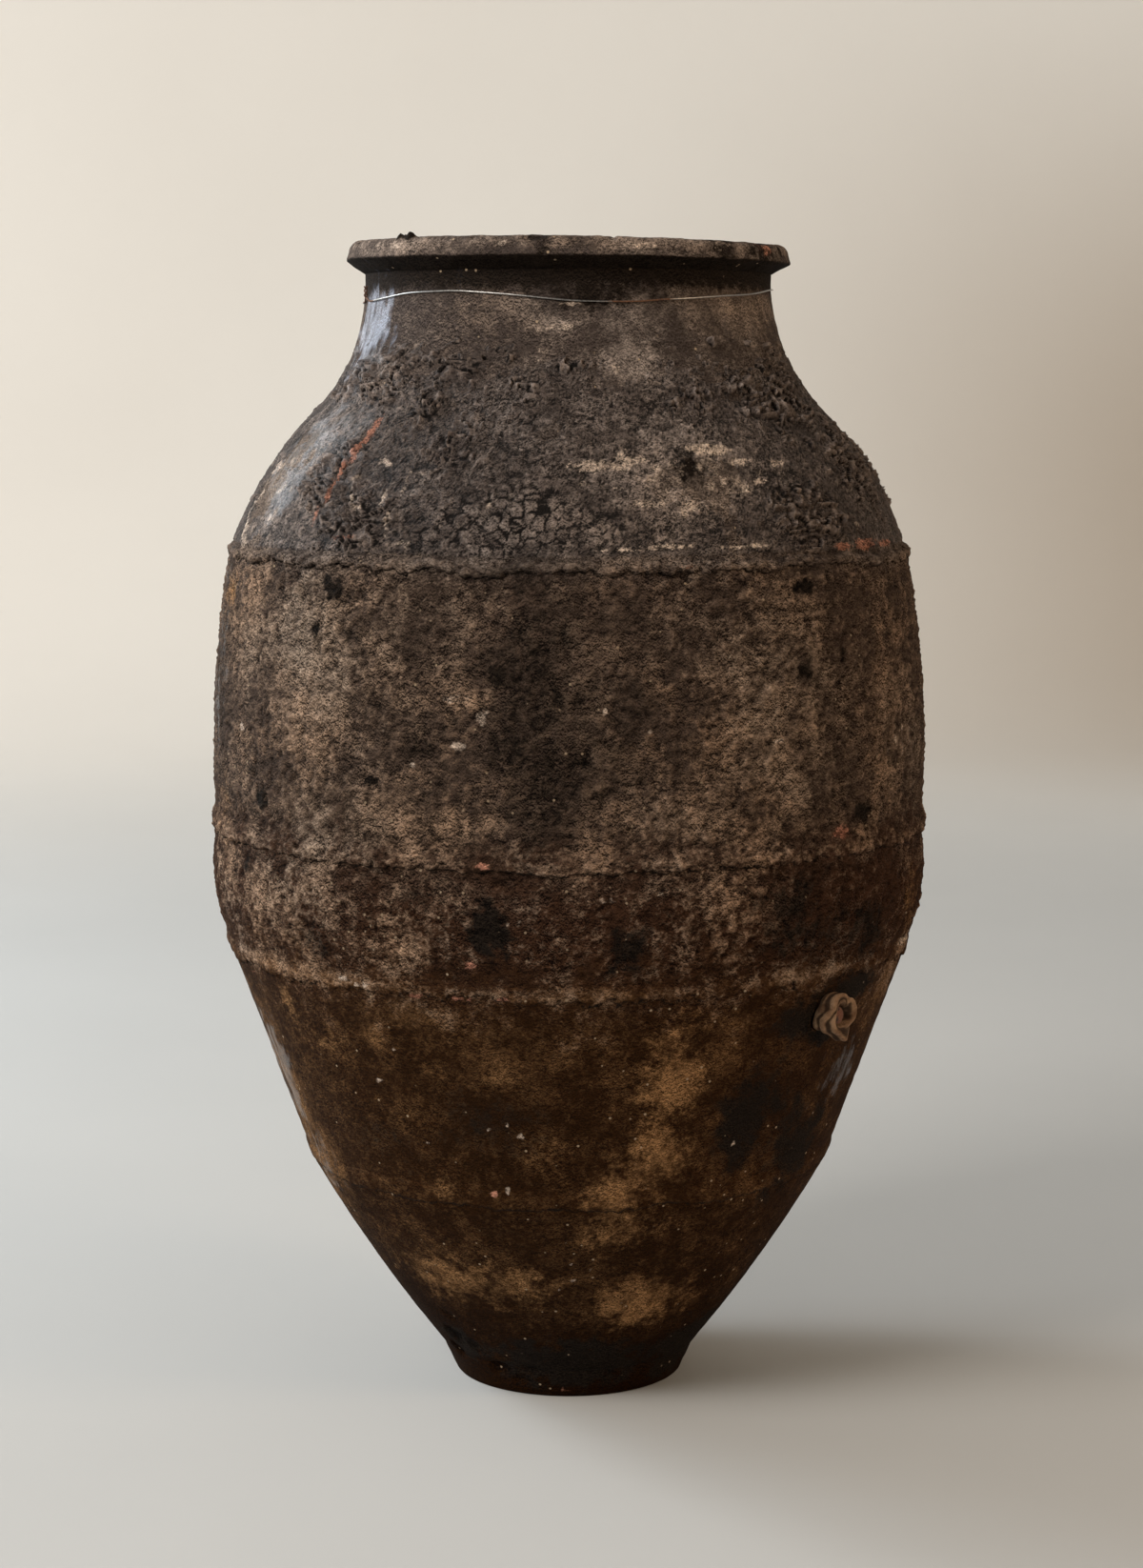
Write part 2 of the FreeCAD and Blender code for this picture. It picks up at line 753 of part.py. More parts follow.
def make_wire(doc, jar, seams):
    """Wire tied round the neck, as one unbroken tube."""
    stations = wire_stations(jar, seams)
    edges = []
    for here, there in zip(stations, stations[1:]):
        edges.extend(biarc(*here, *there))
    path = Part.Wire(edges)
    section = wire_section(jar.wire_diameter.value, *stations[0])
    wire = doc.addObject("Part::Feature", "neck_wire")
    wire.Label = "neck_wire"
    wire.Shape = path.makePipeShell([section], True, False)
    wire.Placement = FreeCAD.Placement()
    area = Part.Face(section).Area
    bends = [edge.Curve.Radius for edge in edges if edge.Curve.TypeId == "Part::GeomCircle"]
    print("wire volume over section times length:", round(wire.Shape.Volume / (area * path.Length), 4))
    print("tightest wire bend:", round(min(bends), 2))
    print_self_gap(path, jar.wire_diameter.value)


def print_self_gap(path, diameter):
    """Least gap between stretches of the wire that lie further apart along it than a few diameters."""
    step = diameter / 2
    points = path.discretize(Distance=step)
    apart = int(WIRE_GAP_SPAN * diameter / step)
    cell = WIRE_GAP_CELL * diameter
    cells = {}
    for index, point in enumerate(points):
        cells.setdefault(tuple(int(value // cell) for value in point), []).append(index)
    least = None
    for (x, y, z), here in cells.items():
        near = []
        for dx in (-1, 0, 1):
            for dy in (-1, 0, 1):
                for dz in (-1, 0, 1):
                    near.extend(cells.get((x + dx, y + dy, z + dz), ()))
        for first in here:
            for second in near:
                if second - first > apart:
                    gap = (points[first] - points[second]).Length - diameter
                    least = gap if least is None else min(least, gap)
    print("least gap of the wire to itself:", least and round(least, 3))


def build():
    """Make every piece of the jar in a new document."""
    doc = FreeCAD.newDocument("olive_jar")
    jar = make_sheet(doc)
    seams = make_seams(jar)
    tap = place_tap(jar, seams)
    make_base(doc, jar, seams)
    make_wall(doc, jar, "lower_section", seams.heel, seams.lower, jar.lower_bow)
    tapped = make_wall(doc, jar, "lower_belly_section", seams.lower, seams.waist, None)
    doc.recompute()
    whole = tapped.Shape.Volume
    bore_side(tapped, tap.height, jar.tap_hole_radius, tap.front)
    make_wall(doc, jar, "belly_section", seams.waist, seams.belly, jar.belly_bow)
    make_wall(doc, jar, "upper_belly_section", seams.belly, seams.shoulder, jar.upper_belly_bow)
    make_shoulder(doc, jar, seams)
    make_neck(doc, jar, seams)
    make_rim(doc, jar, seams)
    make_band(doc, "lower_band", seams.lower, jar.lower_band_proud)
    make_band(doc, "waist_band", seams.waist, jar.waist_band_proud)
    make_band(doc, "belly_band", seams.belly, jar.belly_band_proud)
    make_band(doc, "shoulder_band", seams.shoulder, jar.shoulder_band_proud)
    make_lining(doc, jar, seams, tap)
    make_coat(doc, jar, seams)
    make_wire(doc, jar, seams)
    make_peg(doc, jar, tap)
    make_rag(doc, jar, tap)
    doc.recompute()
    removed = whole - tapped.Shape.Volume
    expected = math.pi * jar.tap_hole_radius.value ** 2 * (tap.outside.value - tap.inside.value)
    print("tap hole volume over the expected one:", round(removed / expected, 3))
    return doc


def write_pieces(doc):
    """Check every object, then write each piece under its own name."""
    for item in doc.Objects:
        if {"Invalid", "Error"} & set(item.State):
            raise RuntimeError(f"{item.Label} failed: {item.State}")
    pieces = [item for item in doc.Objects if item.TypeId in ("PartDesign::Body", "Part::Feature")]
    for piece in pieces:
        if piece.Shape.isNull() or not piece.Shape.isValid() or len(piece.Shape.Solids) != 1:
            raise RuntimeError(f"{piece.Label} is not one valid solid")
    os.makedirs("parts", exist_ok=True)
    for piece in pieces:
        piece.Shape.exportStep(f"parts/{piece.Label}.step")
        box = piece.Shape.optimalBoundingBox(True)
        corners = (box.XMin, box.YMin, box.ZMin, box.XMax, box.YMax, box.ZMax)
        print(piece.Label, round(piece.Shape.Volume), [round(value, 1) for value in corners])


write_pieces(build())
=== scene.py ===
"""Dresses the olive jar: worn clay, cracked pitch, rusty wire, wound rag and a photographer's backdrop."""
import math

import bpy
import numpy as np
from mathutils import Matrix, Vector
from mathutils.bvhtree import BVHTree


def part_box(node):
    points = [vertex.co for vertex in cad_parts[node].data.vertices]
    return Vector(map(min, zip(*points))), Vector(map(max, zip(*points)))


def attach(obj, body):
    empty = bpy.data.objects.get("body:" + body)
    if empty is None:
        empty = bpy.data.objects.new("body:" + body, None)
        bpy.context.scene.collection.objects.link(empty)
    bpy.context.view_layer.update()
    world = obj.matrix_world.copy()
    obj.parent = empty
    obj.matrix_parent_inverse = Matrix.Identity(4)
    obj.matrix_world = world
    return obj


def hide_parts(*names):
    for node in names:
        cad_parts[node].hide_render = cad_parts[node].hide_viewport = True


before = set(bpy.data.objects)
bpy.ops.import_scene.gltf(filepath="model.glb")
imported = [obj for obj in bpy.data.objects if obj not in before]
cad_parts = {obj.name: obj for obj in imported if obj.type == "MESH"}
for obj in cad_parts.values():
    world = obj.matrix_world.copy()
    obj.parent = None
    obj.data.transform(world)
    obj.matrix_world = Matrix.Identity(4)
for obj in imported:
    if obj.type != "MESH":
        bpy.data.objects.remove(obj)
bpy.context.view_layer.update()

MM = 0.001
UP = Vector((0, 0, 1))

# In lists, bearings are degrees round the jar from the tap, and heights are millimetres above the floor.
# Outlines are read on a side away from the tap hole
CLEAR_BEARING = math.radians(100)
CLEAR_WAY = Vector((math.cos(CLEAR_BEARING), math.sin(CLEAR_BEARING), 0))
SEAM_SCARF = 8 * MM
COARSE = 1
WALL_STEP = 2.0 * MM * COARSE
WALL_SEGMENTS = int(768 / COARSE)
COAT_STEP = 1.25 * MM * COARSE
COAT_SEGMENTS = int(1200 / COARSE)
INSIDE_STEP = 12 * MM


# Noise

class Noise:
    """Seeded lattice noise for arrays of points."""

    SIDE = 64
    SPREAD = 1.5
    OCTAVE_SHIFT = 7.31

    def __init__(self, seed):
        random = np.random.default_rng(seed)
        shape = (self.SIDE,) * 3
        self.slopes = random.normal(size=(*shape, 3)).astype(np.float32)
        self.slopes /= np.linalg.norm(self.slopes, axis=-1, keepdims=True)
        self.spots = random.uniform(0.05, 0.95, size=(*shape, 3)).astype(np.float32)
        self.draws = random.uniform(size=shape).astype(np.float32)

    def plain(self, points, size):
        """Smooth noise between about -1 and 1, with lumps of a size."""
        scaled = points / size
        cell = np.floor(scaled).astype(np.int64)
        part = (scaled - cell).astype(np.float32)
        ease = part * part * part * (part * (part * 6 - 15) + 10)
        total = np.zeros(len(points), np.float32)
        for corner in np.ndindex(2, 2, 2):
            corner = np.array(corner)
            at = (cell + corner) % self.SIDE
            slope = self.slopes[at[:, 0], at[:, 1], at[:, 2]]
            weight = np.prod(np.where(corner == 1, ease, 1 - ease), axis=1)
            total += weight * np.sum(slope * (part - corner), axis=1)
        return total * self.SPREAD

    def layered(self, points, size, octaves, gain=0.5):
        """Noise with finer and weaker layers on top."""
        total = np.zeros(len(points), np.float32)
        strength = 1.0
        for octave in range(octaves):
            total += strength * self.plain(points + octave * self.OCTAVE_SHIFT * size, size)
            size *= 0.5
            strength *= gain
        return total

    def cells(self, points, size):
        """Broken ground: how far each point is from a border, its cell's draw, how far its middle is."""
        scaled = points / size
        base = np.floor(scaled).astype(np.int64)
        first = np.full(len(points), 9, np.float32)
        second = first.copy()
        draw = np.zeros(len(points), np.float32)
        for step in np.ndindex(3, 3, 3):
            cell = base + np.array(step) - 1
            at = cell % self.SIDE
            away = (scaled - cell - self.spots[at[:, 0], at[:, 1], at[:, 2]]).astype(np.float32)
            distance = np.linalg.norm(away, axis=1)
            nearer = distance < first
            second = np.where(nearer, first, np.minimum(second, distance))
            draw = np.where(nearer, self.draws[at[:, 0], at[:, 1], at[:, 2]], draw)
            first = np.where(nearer, distance, first)
        return second - first, draw, first


NOISE = Noise(41)


def smooth(low, high, values):
    """Eased step from 0 at low to 1 at high."""
    part = np.clip((values - low) / (high - low), 0, 1)
    return part * part * (3 - 2 * part)


# Outlines read from the frame

def node_tree(node):
    """Search tree of a CAD node's mesh."""
    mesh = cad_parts[node].data
    return BVHTree.FromPolygons([v.co for v in mesh.vertices], [p.vertices for p in mesh.polygons])


def outer_radii(tree, heights):
    """Outside of a node at some heights."""
    hits = [tree.ray_cast(CLEAR_WAY + UP * float(height), -CLEAR_WAY)[0] for height in heights]
    return np.array([hit.to_2d().length for hit in hits])


def inner_radii(tree, heights):
    """Inside of a hollow node at some heights."""
    hits = [tree.ray_cast(UP * float(height), CLEAR_WAY)[0] for height in heights]
    return np.array([hit.to_2d().length for hit in hits])


SECTION_RAYS = 720


def section_loop(tree, centre, step):
    """Outline of a ring's section, seen from a point inside it and spaced evenly."""
    start = CLEAR_WAY * centre[0] + UP * centre[1]
    loop = []
    for spin in np.linspace(-math.pi / 2, 1.5 * math.pi, SECTION_RAYS, endpoint=False):
        hit = tree.ray_cast(start, CLEAR_WAY * math.cos(spin) + UP * math.sin(spin))[0]
        loop.append((hit.to_2d().length, hit.z))
    loop = np.array(loop + loop[:1])
    run = np.concatenate(([0], np.cumsum(np.linalg.norm(np.diff(loop, axis=0), axis=1))))
    places = np.linspace(0, run[-1], int(run[-1] / step), endpoint=False)
    return np.stack([np.interp(places, run, loop[:, 0]), np.interp(places, run, loop[:, 1])], axis=1)


EDGE = 0.02 * MM


def spaced(low, high, step):
    """Heights from low to high, just inside both."""
    return np.linspace(low + EDGE, high - EDGE, max(3, int(round((high - low) / step)) + 1))


# Meshes

class Skin:
    """Points of a turned surface, with where they lie on the jar and which way is out."""

    def __init__(self, line, outward, segments):
        angles = np.linspace(-math.pi, math.pi, segments, endpoint=False)
        radius, angle = np.meshgrid(line[:, 0], angles, indexing="ij")
        self.height = np.repeat(line[:, 1], segments)
        self.angle = angle.ravel()
        self.bearing = np.degrees(self.angle)
        self.radius = radius.ravel()
        self.out_across = np.repeat(outward[:, 0], segments)
        self.out_up = np.repeat(outward[:, 1], segments)
        self.rows = len(line)
        self.segments = segments
        self.points = self.place(np.zeros(len(self.height)))

    def place(self, lift):
        """The points moved out from the surface by a lift."""
        across = self.radius + self.out_across * lift
        up = self.height + self.out_up * lift
        return np.stack([across * np.cos(self.angle), across * np.sin(self.angle), up], axis=1)

    def faces(self):
        """Quads of the skin as a closed ring."""
        return grid_faces(self.rows, self.segments, True)


def right_of(run):
    """Directions square to a run, on its right."""
    run = run / np.linalg.norm(run, axis=1, keepdims=True)
    return np.stack([run[:, 1], -run[:, 0]], axis=1)


def line_outward(line):
    """Outward directions along a line that runs up the outside."""
    return right_of(np.gradient(line, axis=0))


def loop_outward(loop):
    """Outward directions along a closed loop that runs anticlockwise."""
    return right_of(np.roll(loop, -1, axis=0) - np.roll(loop, 1, axis=0))


def ring_skin(outside, inside, segments):
    """Skin of a ring: its outside, which wears, and its inside, which stays as it is."""
    outward = np.concatenate([line_outward(outside), np.zeros_like(inside)])
    return Skin(np.concatenate([outside, inside]), outward, segments)


def grid_faces(rows, segments, closed):
    """Quads of a grid that goes round, and that closes on itself the other way too where asked."""
    last = rows if closed else rows - 1
    row = np.arange(last)[:, None]
    column = np.arange(segments)[None, :]
    after = (column + 1) % segments
    above = (row + 1) % rows
    here, over = row * segments, above * segments
    quads = np.stack([here + column, here + after, over + after, over + column], axis=-1)
    return quads.reshape(-1, 4).tolist()


def capped_faces(rows, sides):
    """Quads of a grid that goes round, with a face over each end."""
    faces = grid_faces(rows, sides, False)
    faces.append(list(range(sides))[::-1])
    faces.append(list(range((rows - 1) * sides, rows * sides)))
    return faces


SHARP = math.radians(75)


def make_piece(name, points, faces, masks, material, node, body="jar"):
    """Mesh object that stands for a CAD node, rides on its body and carries its masks."""
    mesh = bpy.data.meshes.new(name)
    mesh.from_pydata(points.tolist(), [], faces)
    mesh.polygons.foreach_set("use_smooth", np.ones(len(mesh.polygons), bool))
    for mask, values in masks.items():
        layer = mesh.attributes.new(mask, "FLOAT", "POINT")
        layer.data.foreach_set("value", np.ascontiguousarray(values, np.float32))
    mesh.materials.append(material)
    mesh.set_sharp_from_angle(angle=SHARP)
    mesh.update()
    piece = bpy.data.objects.new(name, mesh)
    bpy.context.scene.collection.objects.link(piece)
    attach(piece, body)
    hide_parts(node)
    return piece


# Stains: bearing, height, half width in degrees, half height in millimetres, strength

SOOT = (
    (-52, 530, 13, 85, 0.55), (-50, 455, 11, 60, 0.55), (-56, 477, 6, 20, 0.6),
    (-70, 477, 4.5, 15, 0.5), (-87, 575, 2.7, 10, 0.95), (-90.3, 548, 1.6, 7, 0.8),
    (-82.5, 545, 3, 7, 0.6), (-57.8, 523, 2, 9, 0.9), (-78, 453, 1.6, 5, 0.9), (-102, 432, 1.8, 9, 0.9),
    (-104.7, 450, 2.4, 6, 0.6), (-7.8, 575, 2.7, 6, 0.95), (-9.2, 523, 2.2, 10, 0.7),
    (-0.6, 530, 0.9, 11, 0.6), (-40, 500, 9, 60, 0.45), (-38, 545, 8, 40, 0.4),
    (-25.3, 652, 3.4, 12, 0.9), (-42, 765, 7, 16, 0.8), (-107, 385, 2.2, 7, 0.7),
    (-90, 345, 5, 20, 0.5), (-39, 350, 4.5, 22, 0.7), (-12, 365, 8, 32, 0.6), (6, 345, 8, 25, 0.6),
    (4, 425, 3.5, 10, 0.8), (-59, 360, 3.6, 22, 0.9), (18, 560, 5, 30, 0.4), (-115, 470, 6, 30, 0.3),
    (-70, 380, 4, 12, 0.4), (-95, 35, 12, 18, 0.8), (-45, 28, 40, 26, 0.9), (10, 30, 26, 30, 0.9),
    (6, 304, 9, 14, 0.9), (-6, 288, 7, 18, 0.75), (3, 274, 7, 10, 0.9), (-12, 225, 10, 42, 0.75),
    (4, 190, 12, 40, 0.75), (-62, 225, 12, 34, 0.45), (-85, 205, 10, 30, 0.4), (-40, 768, 26, 18, 0.65),
    (12, 795, 10, 12, 0.7), (-6, 350, 10, 26, 0.5), (-121, 500, 7, 85, 0.45),
)
DUST = (
    (-89, 520, 13, 62, 0.55), (-80, 425, 22, 26, 0.55), (-16, 490, 13, 78, 0.45),
    (-62, 507, 3.2, 8, 0.75), (-108, 545, 9, 34, 0.55), (-100, 365, 16, 36, 0.55),
    (-72, 350, 9, 28, 0.5), (-30, 430, 12, 22, 0.45), (-28, 360, 12, 34, 0.35), (-118, 375, 7, 50, 0.5),
    (-30, 755, 14, 24, 0.35), (5, 755, 30, 28, 0.4), (-117, 210, 8, 75, 0.8), (-109, 175, 7, 30, 0.65),
    (22, 300, 5, 30, 0.6), (-31, 717, 8, 22, 0.6), (-113, 640, 9, 45, 0.75), (-64, 757, 9, 8, 0.45),
    (-52, 745, 8, 6, 0.6), (15, 480, 9, 60, 0.35), (-60, 595, 70, 9, 0.3), (-60, 412, 60, 5, 0.35),
    (-96, 320, 26, 7, 0.55), (-46, 318, 22, 5, 0.45), (-8, 322, 14, 6, 0.45), (-20, 270, 3.5, 14, 0.5),
    (-20, 292, 5, 9, 0.55), (-81.4, 280, 2.2, 14, 0.7), (-75, 300, 10, 10, 0.4),
    (-58, 270, 8, 28, 0.35), (-2, 760, 26, 26, 0.55), (-12, 520, 12, 70, 0.35),
    (-98, 690, 10, 40, 0.35), (-52, 622, 12, 22, 0.3), (-100, 793, 30, 8, 0.5),
    (-28, 645, 15, 36, 0.65), (-40, 612, 10, 14, 0.3), (-106, 660, 9, 42, 0.6), (-98, 620, 8, 20, 0.35),
)
TAN = (
    (-29.7, 258, 6.5, 38, 0.85), (-31, 195, 8, 36, 0.8), (-38, 172, 7, 28, 0.75),
    (-35, 145, 11, 16, 0.6), (-102, 293, 3, 16, 0.7), (-73.6, 173, 3, 11, 0.6), (-75, 97, 28, 21, 0.8),
    (-24, 82, 17, 24, 0.85), (-120, 565, 5, 12, 0.6), (-118, 420, 5, 30, 0.5), (23, 357, 6, 26, 0.7),
    (-95, 270, 8, 14, 0.4), (-52, 205, 6, 16, 0.4), (-63, 230, 5, 14, 0.35), (12, 90, 14, 22, 0.3),
    (-60, 255, 4, 14, 0.35),
)
TERRA = (
    (-90.8, 676, 1.5, 9, 1.0), (-91.6, 662, 1.1, 9, 0.95), (-92.6, 648, 0.8, 9, 0.85),
    (-93.7, 634, 0.7, 9, 0.75), (-94.8, 621, 0.6, 7, 0.6), (2.5, 599, 2.2, 2.6, 1.0),
    (9.7, 599.5, 3.8, 3.6, 1.0), (18, 599, 3, 2.6, 0.9), (-60, 402, 0.9, 2.6, 1.0),
    (-1.4, 413, 2.4, 5, 0.85), (-72, 314, 1.7, 2.2, 0.8), (-64, 314, 2.2, 1.8, 0.9),
    (-57.5, 315, 1.2, 1.5, 0.8), (-62.5, 337, 1.2, 4, 0.7), (-86, 606, 3, 2, 0.6),
    (-62.5, 173, 0.8, 1.8, 0.8), (-50, 6, 5, 1.6, 0.6), (-29, 590, 1.2, 2, 0.6), (13, 797, 6, 7, 0.35),
    (-113, 306, 1.6, 2.2, 0.6),
)
LIME = (
    (-42, 653, 5.5, 4, 1.0), (-36, 657, 3.5, 3, 0.9), (-20, 663, 5.5, 3.6, 1.0),
    (-15, 655, 3.5, 3, 0.85), (-30, 646, 6, 6, 0.5), (-24, 652, 8, 7, 0.55), (-34, 630, 3.2, 3.4, 0.85),
    (-28, 628, 1.8, 4.4, 1.0), (-12, 642, 2.4, 2.6, 0.85), (-32, 603, 5, 1.8, 0.9),
    (-18, 602, 6, 1.6, 0.7), (-34, 638, 5, 7, 0.45), (-26, 629, 7, 7, 0.42), (-17, 642, 5, 8, 0.45),
    (-38, 660, 3, 5, 0.4), (-22, 664, 2, 1.6, 0.8), (-15, 637, 1.4, 1.6, 0.9),
    (-11, 648, 1.1, 2.2, 0.95), (-6, 653, 2.2, 3.6, 0.8), (-28, 623, 0.9, 4.2, 1.0),
    (9.5, 612, 0.8, 2.4, 0.9), (-37, 601, 6.5, 1.3, 0.8), (-77, 640, 0.7, 9, 0.7),
    (-78.5, 618, 1, 12, 0.6), (-74.5, 604, 2, 3, 0.7), (-76, 648, 3, 1.6, 0.7),
    (-80.6, 632, 0.6, 6, 0.6), (-105, 679, 0.8, 1.8, 0.9), (-112, 712, 1, 2, 0.8),
    (-60.8, 629, 0.6, 2, 1.0), (-75, 758, 0.4, 1.4, 0.9), (-60.5, 497, 1.2, 6, 0.85),
    (-64.7, 508, 2.6, 4, 0.55), (-64, 478, 1.6, 3, 0.7), (-70.8, 465, 1.0, 2.2, 0.9),
    (-76, 486, 0.6, 2, 0.9), (-109, 478, 1.1, 3.6, 0.7), (-42.3, 500, 0.45, 3.4, 1.0),
    (-35.6, 488, 0.5, 2, 0.9), (-14.7, 478, 0.9, 1.3, 1.0), (-22.8, 533, 0.4, 1.4, 0.9),
    (-62.3, 221, 0.55, 1.8, 1.0), (-58.7, 225, 0.45, 1.5, 1.0), (-56.3, 217, 0.75, 2.0, 1.0),
    (-75.3, 206, 0.5, 1.2, 1.0), (-78.3, 273, 0.5, 1.6, 0.9), (-83, 248, 1.2, 1.8, 0.7),
    (-59.7, 176, 0.7, 3.6, 0.9), (-14, 203, 0.4, 1.3, 0.9), (-50, 96, 0.5, 1.3, 0.9),
    (-46.4, 104, 0.5, 1.3, 0.9), (-47, 118, 0.5, 1.3, 0.9), (-48, 137, 0.5, 1.3, 0.9),
    (-42.2, 113, 0.9, 1.2, 0.8), (-34, 384, 0.5, 1.5, 0.7), (-41, 380, 2.2, 2.5, 0.6),
    (-55, 366, 1.4, 5, 0.7), (-48, 757, 4, 2, 0.5), (-52, 742, 7, 3, 0.6), (-54, 728, 1.6, 9, 0.5),
    (-36, 716, 1.2, 4, 0.6), (-38, 737, 2, 2, 0.5), (14, 470, 0.5, 9, 0.5), (17, 468, 0.5, 11, 0.5),
    (20, 473, 0.5, 10, 0.45), (11.5, 464, 0.5, 7, 0.6), (24, 325, 3, 3, 0.8), (-85, 320, 1.4, 2, 0.7),
    (-82, 318, 2, 2.2, 0.7), (-30, 795, 6, 4, 0.5), (-60, 794, 8, 3, 0.45), (-100, 795, 12, 3, 0.35),
    (-4, 797, 5, 4, 0.35),
)
# Rings of lime: bearing, height, half width, half height, thickness as a share of the ring, strength
LIME_RINGS = (
    (-118, 622, 7.6, 23, 0.24, 1.0), (-118.5, 620, 4.6, 13, 0.3, 0.9), (-115, 640, 6, 12, 0.26, 0.8),
    (-110, 632, 4, 17, 0.22, 0.6), (-24, 653, 6.5, 13, 0.24, 0.6), (-39, 648, 8, 8, 0.26, 0.5),
    (-84, 640, 4, 16, 0.22, 0.55), (-119, 655, 9, 16, 0.12, 0.35),
)
# Wet, glossy patches, which also get a painted sheen high on the clay and on the pitch
WET_AND_SHEEN = (
    (-114, 742, 15, 34, 0.95), (-112, 570, 7, 22, 0.4), (-119, 235, 9, 60, 0.9),
    (-112, 170, 9, 30, 0.7), (-97, 665, 9, 40, 0.55), (-118, 120, 8, 25, 0.4), (13, 238, 10, 28, 0.85),
    (-124, 500, 8, 90, 0.55), (-109, 655, 11, 46, 0.85),
)
# Pitch: where it lies thick and crumbled, where it broke into fine cells, and where the clay shows through
CRUMBLED = (
    (-95, 708, 10, 16, 0.9), (-110, 706, 11, 14, 0.7), (-73, 719, 11, 12, 0.75),
    (-79.5, 690, 4, 12, 0.9), (-86, 616, 8, 18, 1.0), (6, 702, 15, 34, 1.0), (-12, 735, 5, 12, 0.8),
    (-3, 620, 9, 22, 1.0), (-96, 650, 8, 30, 0.6), (-70, 668, 7, 20, 0.55), (20, 650, 10, 30, 0.8),
    (-48, 722, 6, 10, 0.6), (-20, 690, 8, 20, 0.5), (-58, 700, 8, 14, 0.35),
)
CELLED = (
    (-55, 622, 11, 26, 1.0), (-42, 616, 8, 16, 0.6), (-69, 613, 7, 15, 0.8), (-30, 690, 6, 14, 0.4),
    (-8, 640, 8, 24, 0.5), (-78, 640, 7, 20, 0.4), (-58, 655, 10, 12, 0.4),
)
BARE = (
    (-31, 716, 8, 20, 0.7), (-113, 640, 9, 40, 0.6), (-24, 640, 9, 22, 0.4), (-91, 668, 2, 14, 0.9),
    (-93.5, 636, 1.2, 18, 0.7), (24, 620, 6, 20, 0.3),
)

# The side that the photograph doesn't show gets stains of the same kinds, scattered
HIDDEN_SIDE = (46, 216)
SCATTER = 12


def scatter(marks, seed, spread=1.0):
    """The marks seen, and as many again on the hidden side at drawn bearings and at much the same heights."""
    random = np.random.default_rng(seed)
    low, high = HIDDEN_SIDE
    more = []
    for mark in marks:
        bearing = random.uniform(low, high)
        height = mark[1] + random.normal() * SCATTER * spread
        size = random.uniform(0.75, 1.3)
        more.append((bearing, height, mark[2] * size, mark[3] * size, *mark[4:]))
    return marks + tuple(more)


# Masks of the stains; the soot mask also carries painted shade, the dust mask painted highlights and the wet
# mask a painted sheen
STAINS = {
    "soot_and_shade": scatter(SOOT, 3),
    "dust_and_highlight": scatter(DUST, 4),
    "tan": scatter(TAN, 5),
    "terra": scatter(TERRA, 6, 0.2),
    "lime": scatter(LIME, 7),
    "wet_and_sheen": scatter(WET_AND_SHEEN, 8),
}
CRUMBLED = scatter(CRUMBLED, 9)
CELLED = scatter(CELLED, 10)
BARE = scatter(BARE, 11)


def bearing_gap(bearings, bearing):
    """Signed degrees from a bearing, the short way round."""
    return (bearings - bearing + 180) % 360 - 180


# How far a ragged mark can spread, in its own half sizes
MARK_REACH = 2.2


def mark_distance(skin, bearing, height, half_width, half_height):
    """Distance from a mark's middle, 1 at its edge, with the points that lie near it."""
    across = bearing_gap(skin.bearing, bearing) / half_width
    up = (skin.height / MM - height) / half_height
    near = np.nonzero((np.abs(across) < MARK_REACH) & (np.abs(up) < MARK_REACH))[0]
    return near, np.hypot(across[near], up[near])


def stained(skin, marks):
    """Strength of a kind of stain over a skin, with ragged edges."""
    total = np.zeros(len(skin.height), np.float32)
    for bearing, height, half_width, half_height, strength in marks:
        near, distance = mark_distance(skin, bearing, height, half_width, half_height)
        if len(near) == 0:
            continue
        width = math.radians(half_width) * skin.radius[near].mean()
        reach = max(1.6 * MM, 0.5 * min(width, half_height * MM))
        ragged = NOISE.layered(skin.points[near], reach, 3, 0.6)
        edge = smooth(1.5, 0.2, distance + ragged * 0.45)
        total[near] = np.maximum(total[near], strength * edge)
    return total


def ringed(skin, rings):
    """Lines of lime that dried round old splashes."""
    total = np.zeros(len(skin.height), np.float32)
    for bearing, height, half_width, half_height, line, strength in rings:
        near, distance = mark_distance(skin, bearing, height, half_width, half_height)
        if len(near) == 0:
            continue
        ragged = NOISE.layered(skin.points[near], 12 * MM, 3)
        off = np.abs(distance + ragged * 0.24 - 1)
        kept = smooth(-0.3, 0.35, NOISE.layered(skin.points[near] + 2.7, 16 * MM, 2))
        total[near] = np.maximum(total[near], strength * kept * smooth(line, line * 0.3, off))
    return total


def flattened(points, squeeze):
    """Points squeezed in height, so that noise on them is drawn out level."""
    return points * np.array([1, 1, squeeze])


# Clay

PITS = scatter(
    (
        (-98, 40, 4, 6, 2.6), (-89, 35, 3, 5, 2.0), (-80, 19, 5, 4, 2.4), (-105, 25, 4, 5, 2.2),
        (-70, 13, 4, 3, 1.6), (-100, 488, 1.5, 3.5, 1.2),
        (-64, 22, 3, 3, 1.2), (-92, 60, 3, 4, 1.0), (-30, 18, 4, 3, 1.2),
    ),
    12,
)
PIT_SPACING = 19 * MM
# Heights between which the clay turns gritty, and between which it turns smooth again
GRITTY_FROM = (300, 345)
GRITTY_TO = (600, 592)
# Heights between which the soot and painted shade under the rim begin, and between which they end
UNDER_RIM_FROM = (752, 778)
UNDER_RIM_TO = (789, 783)


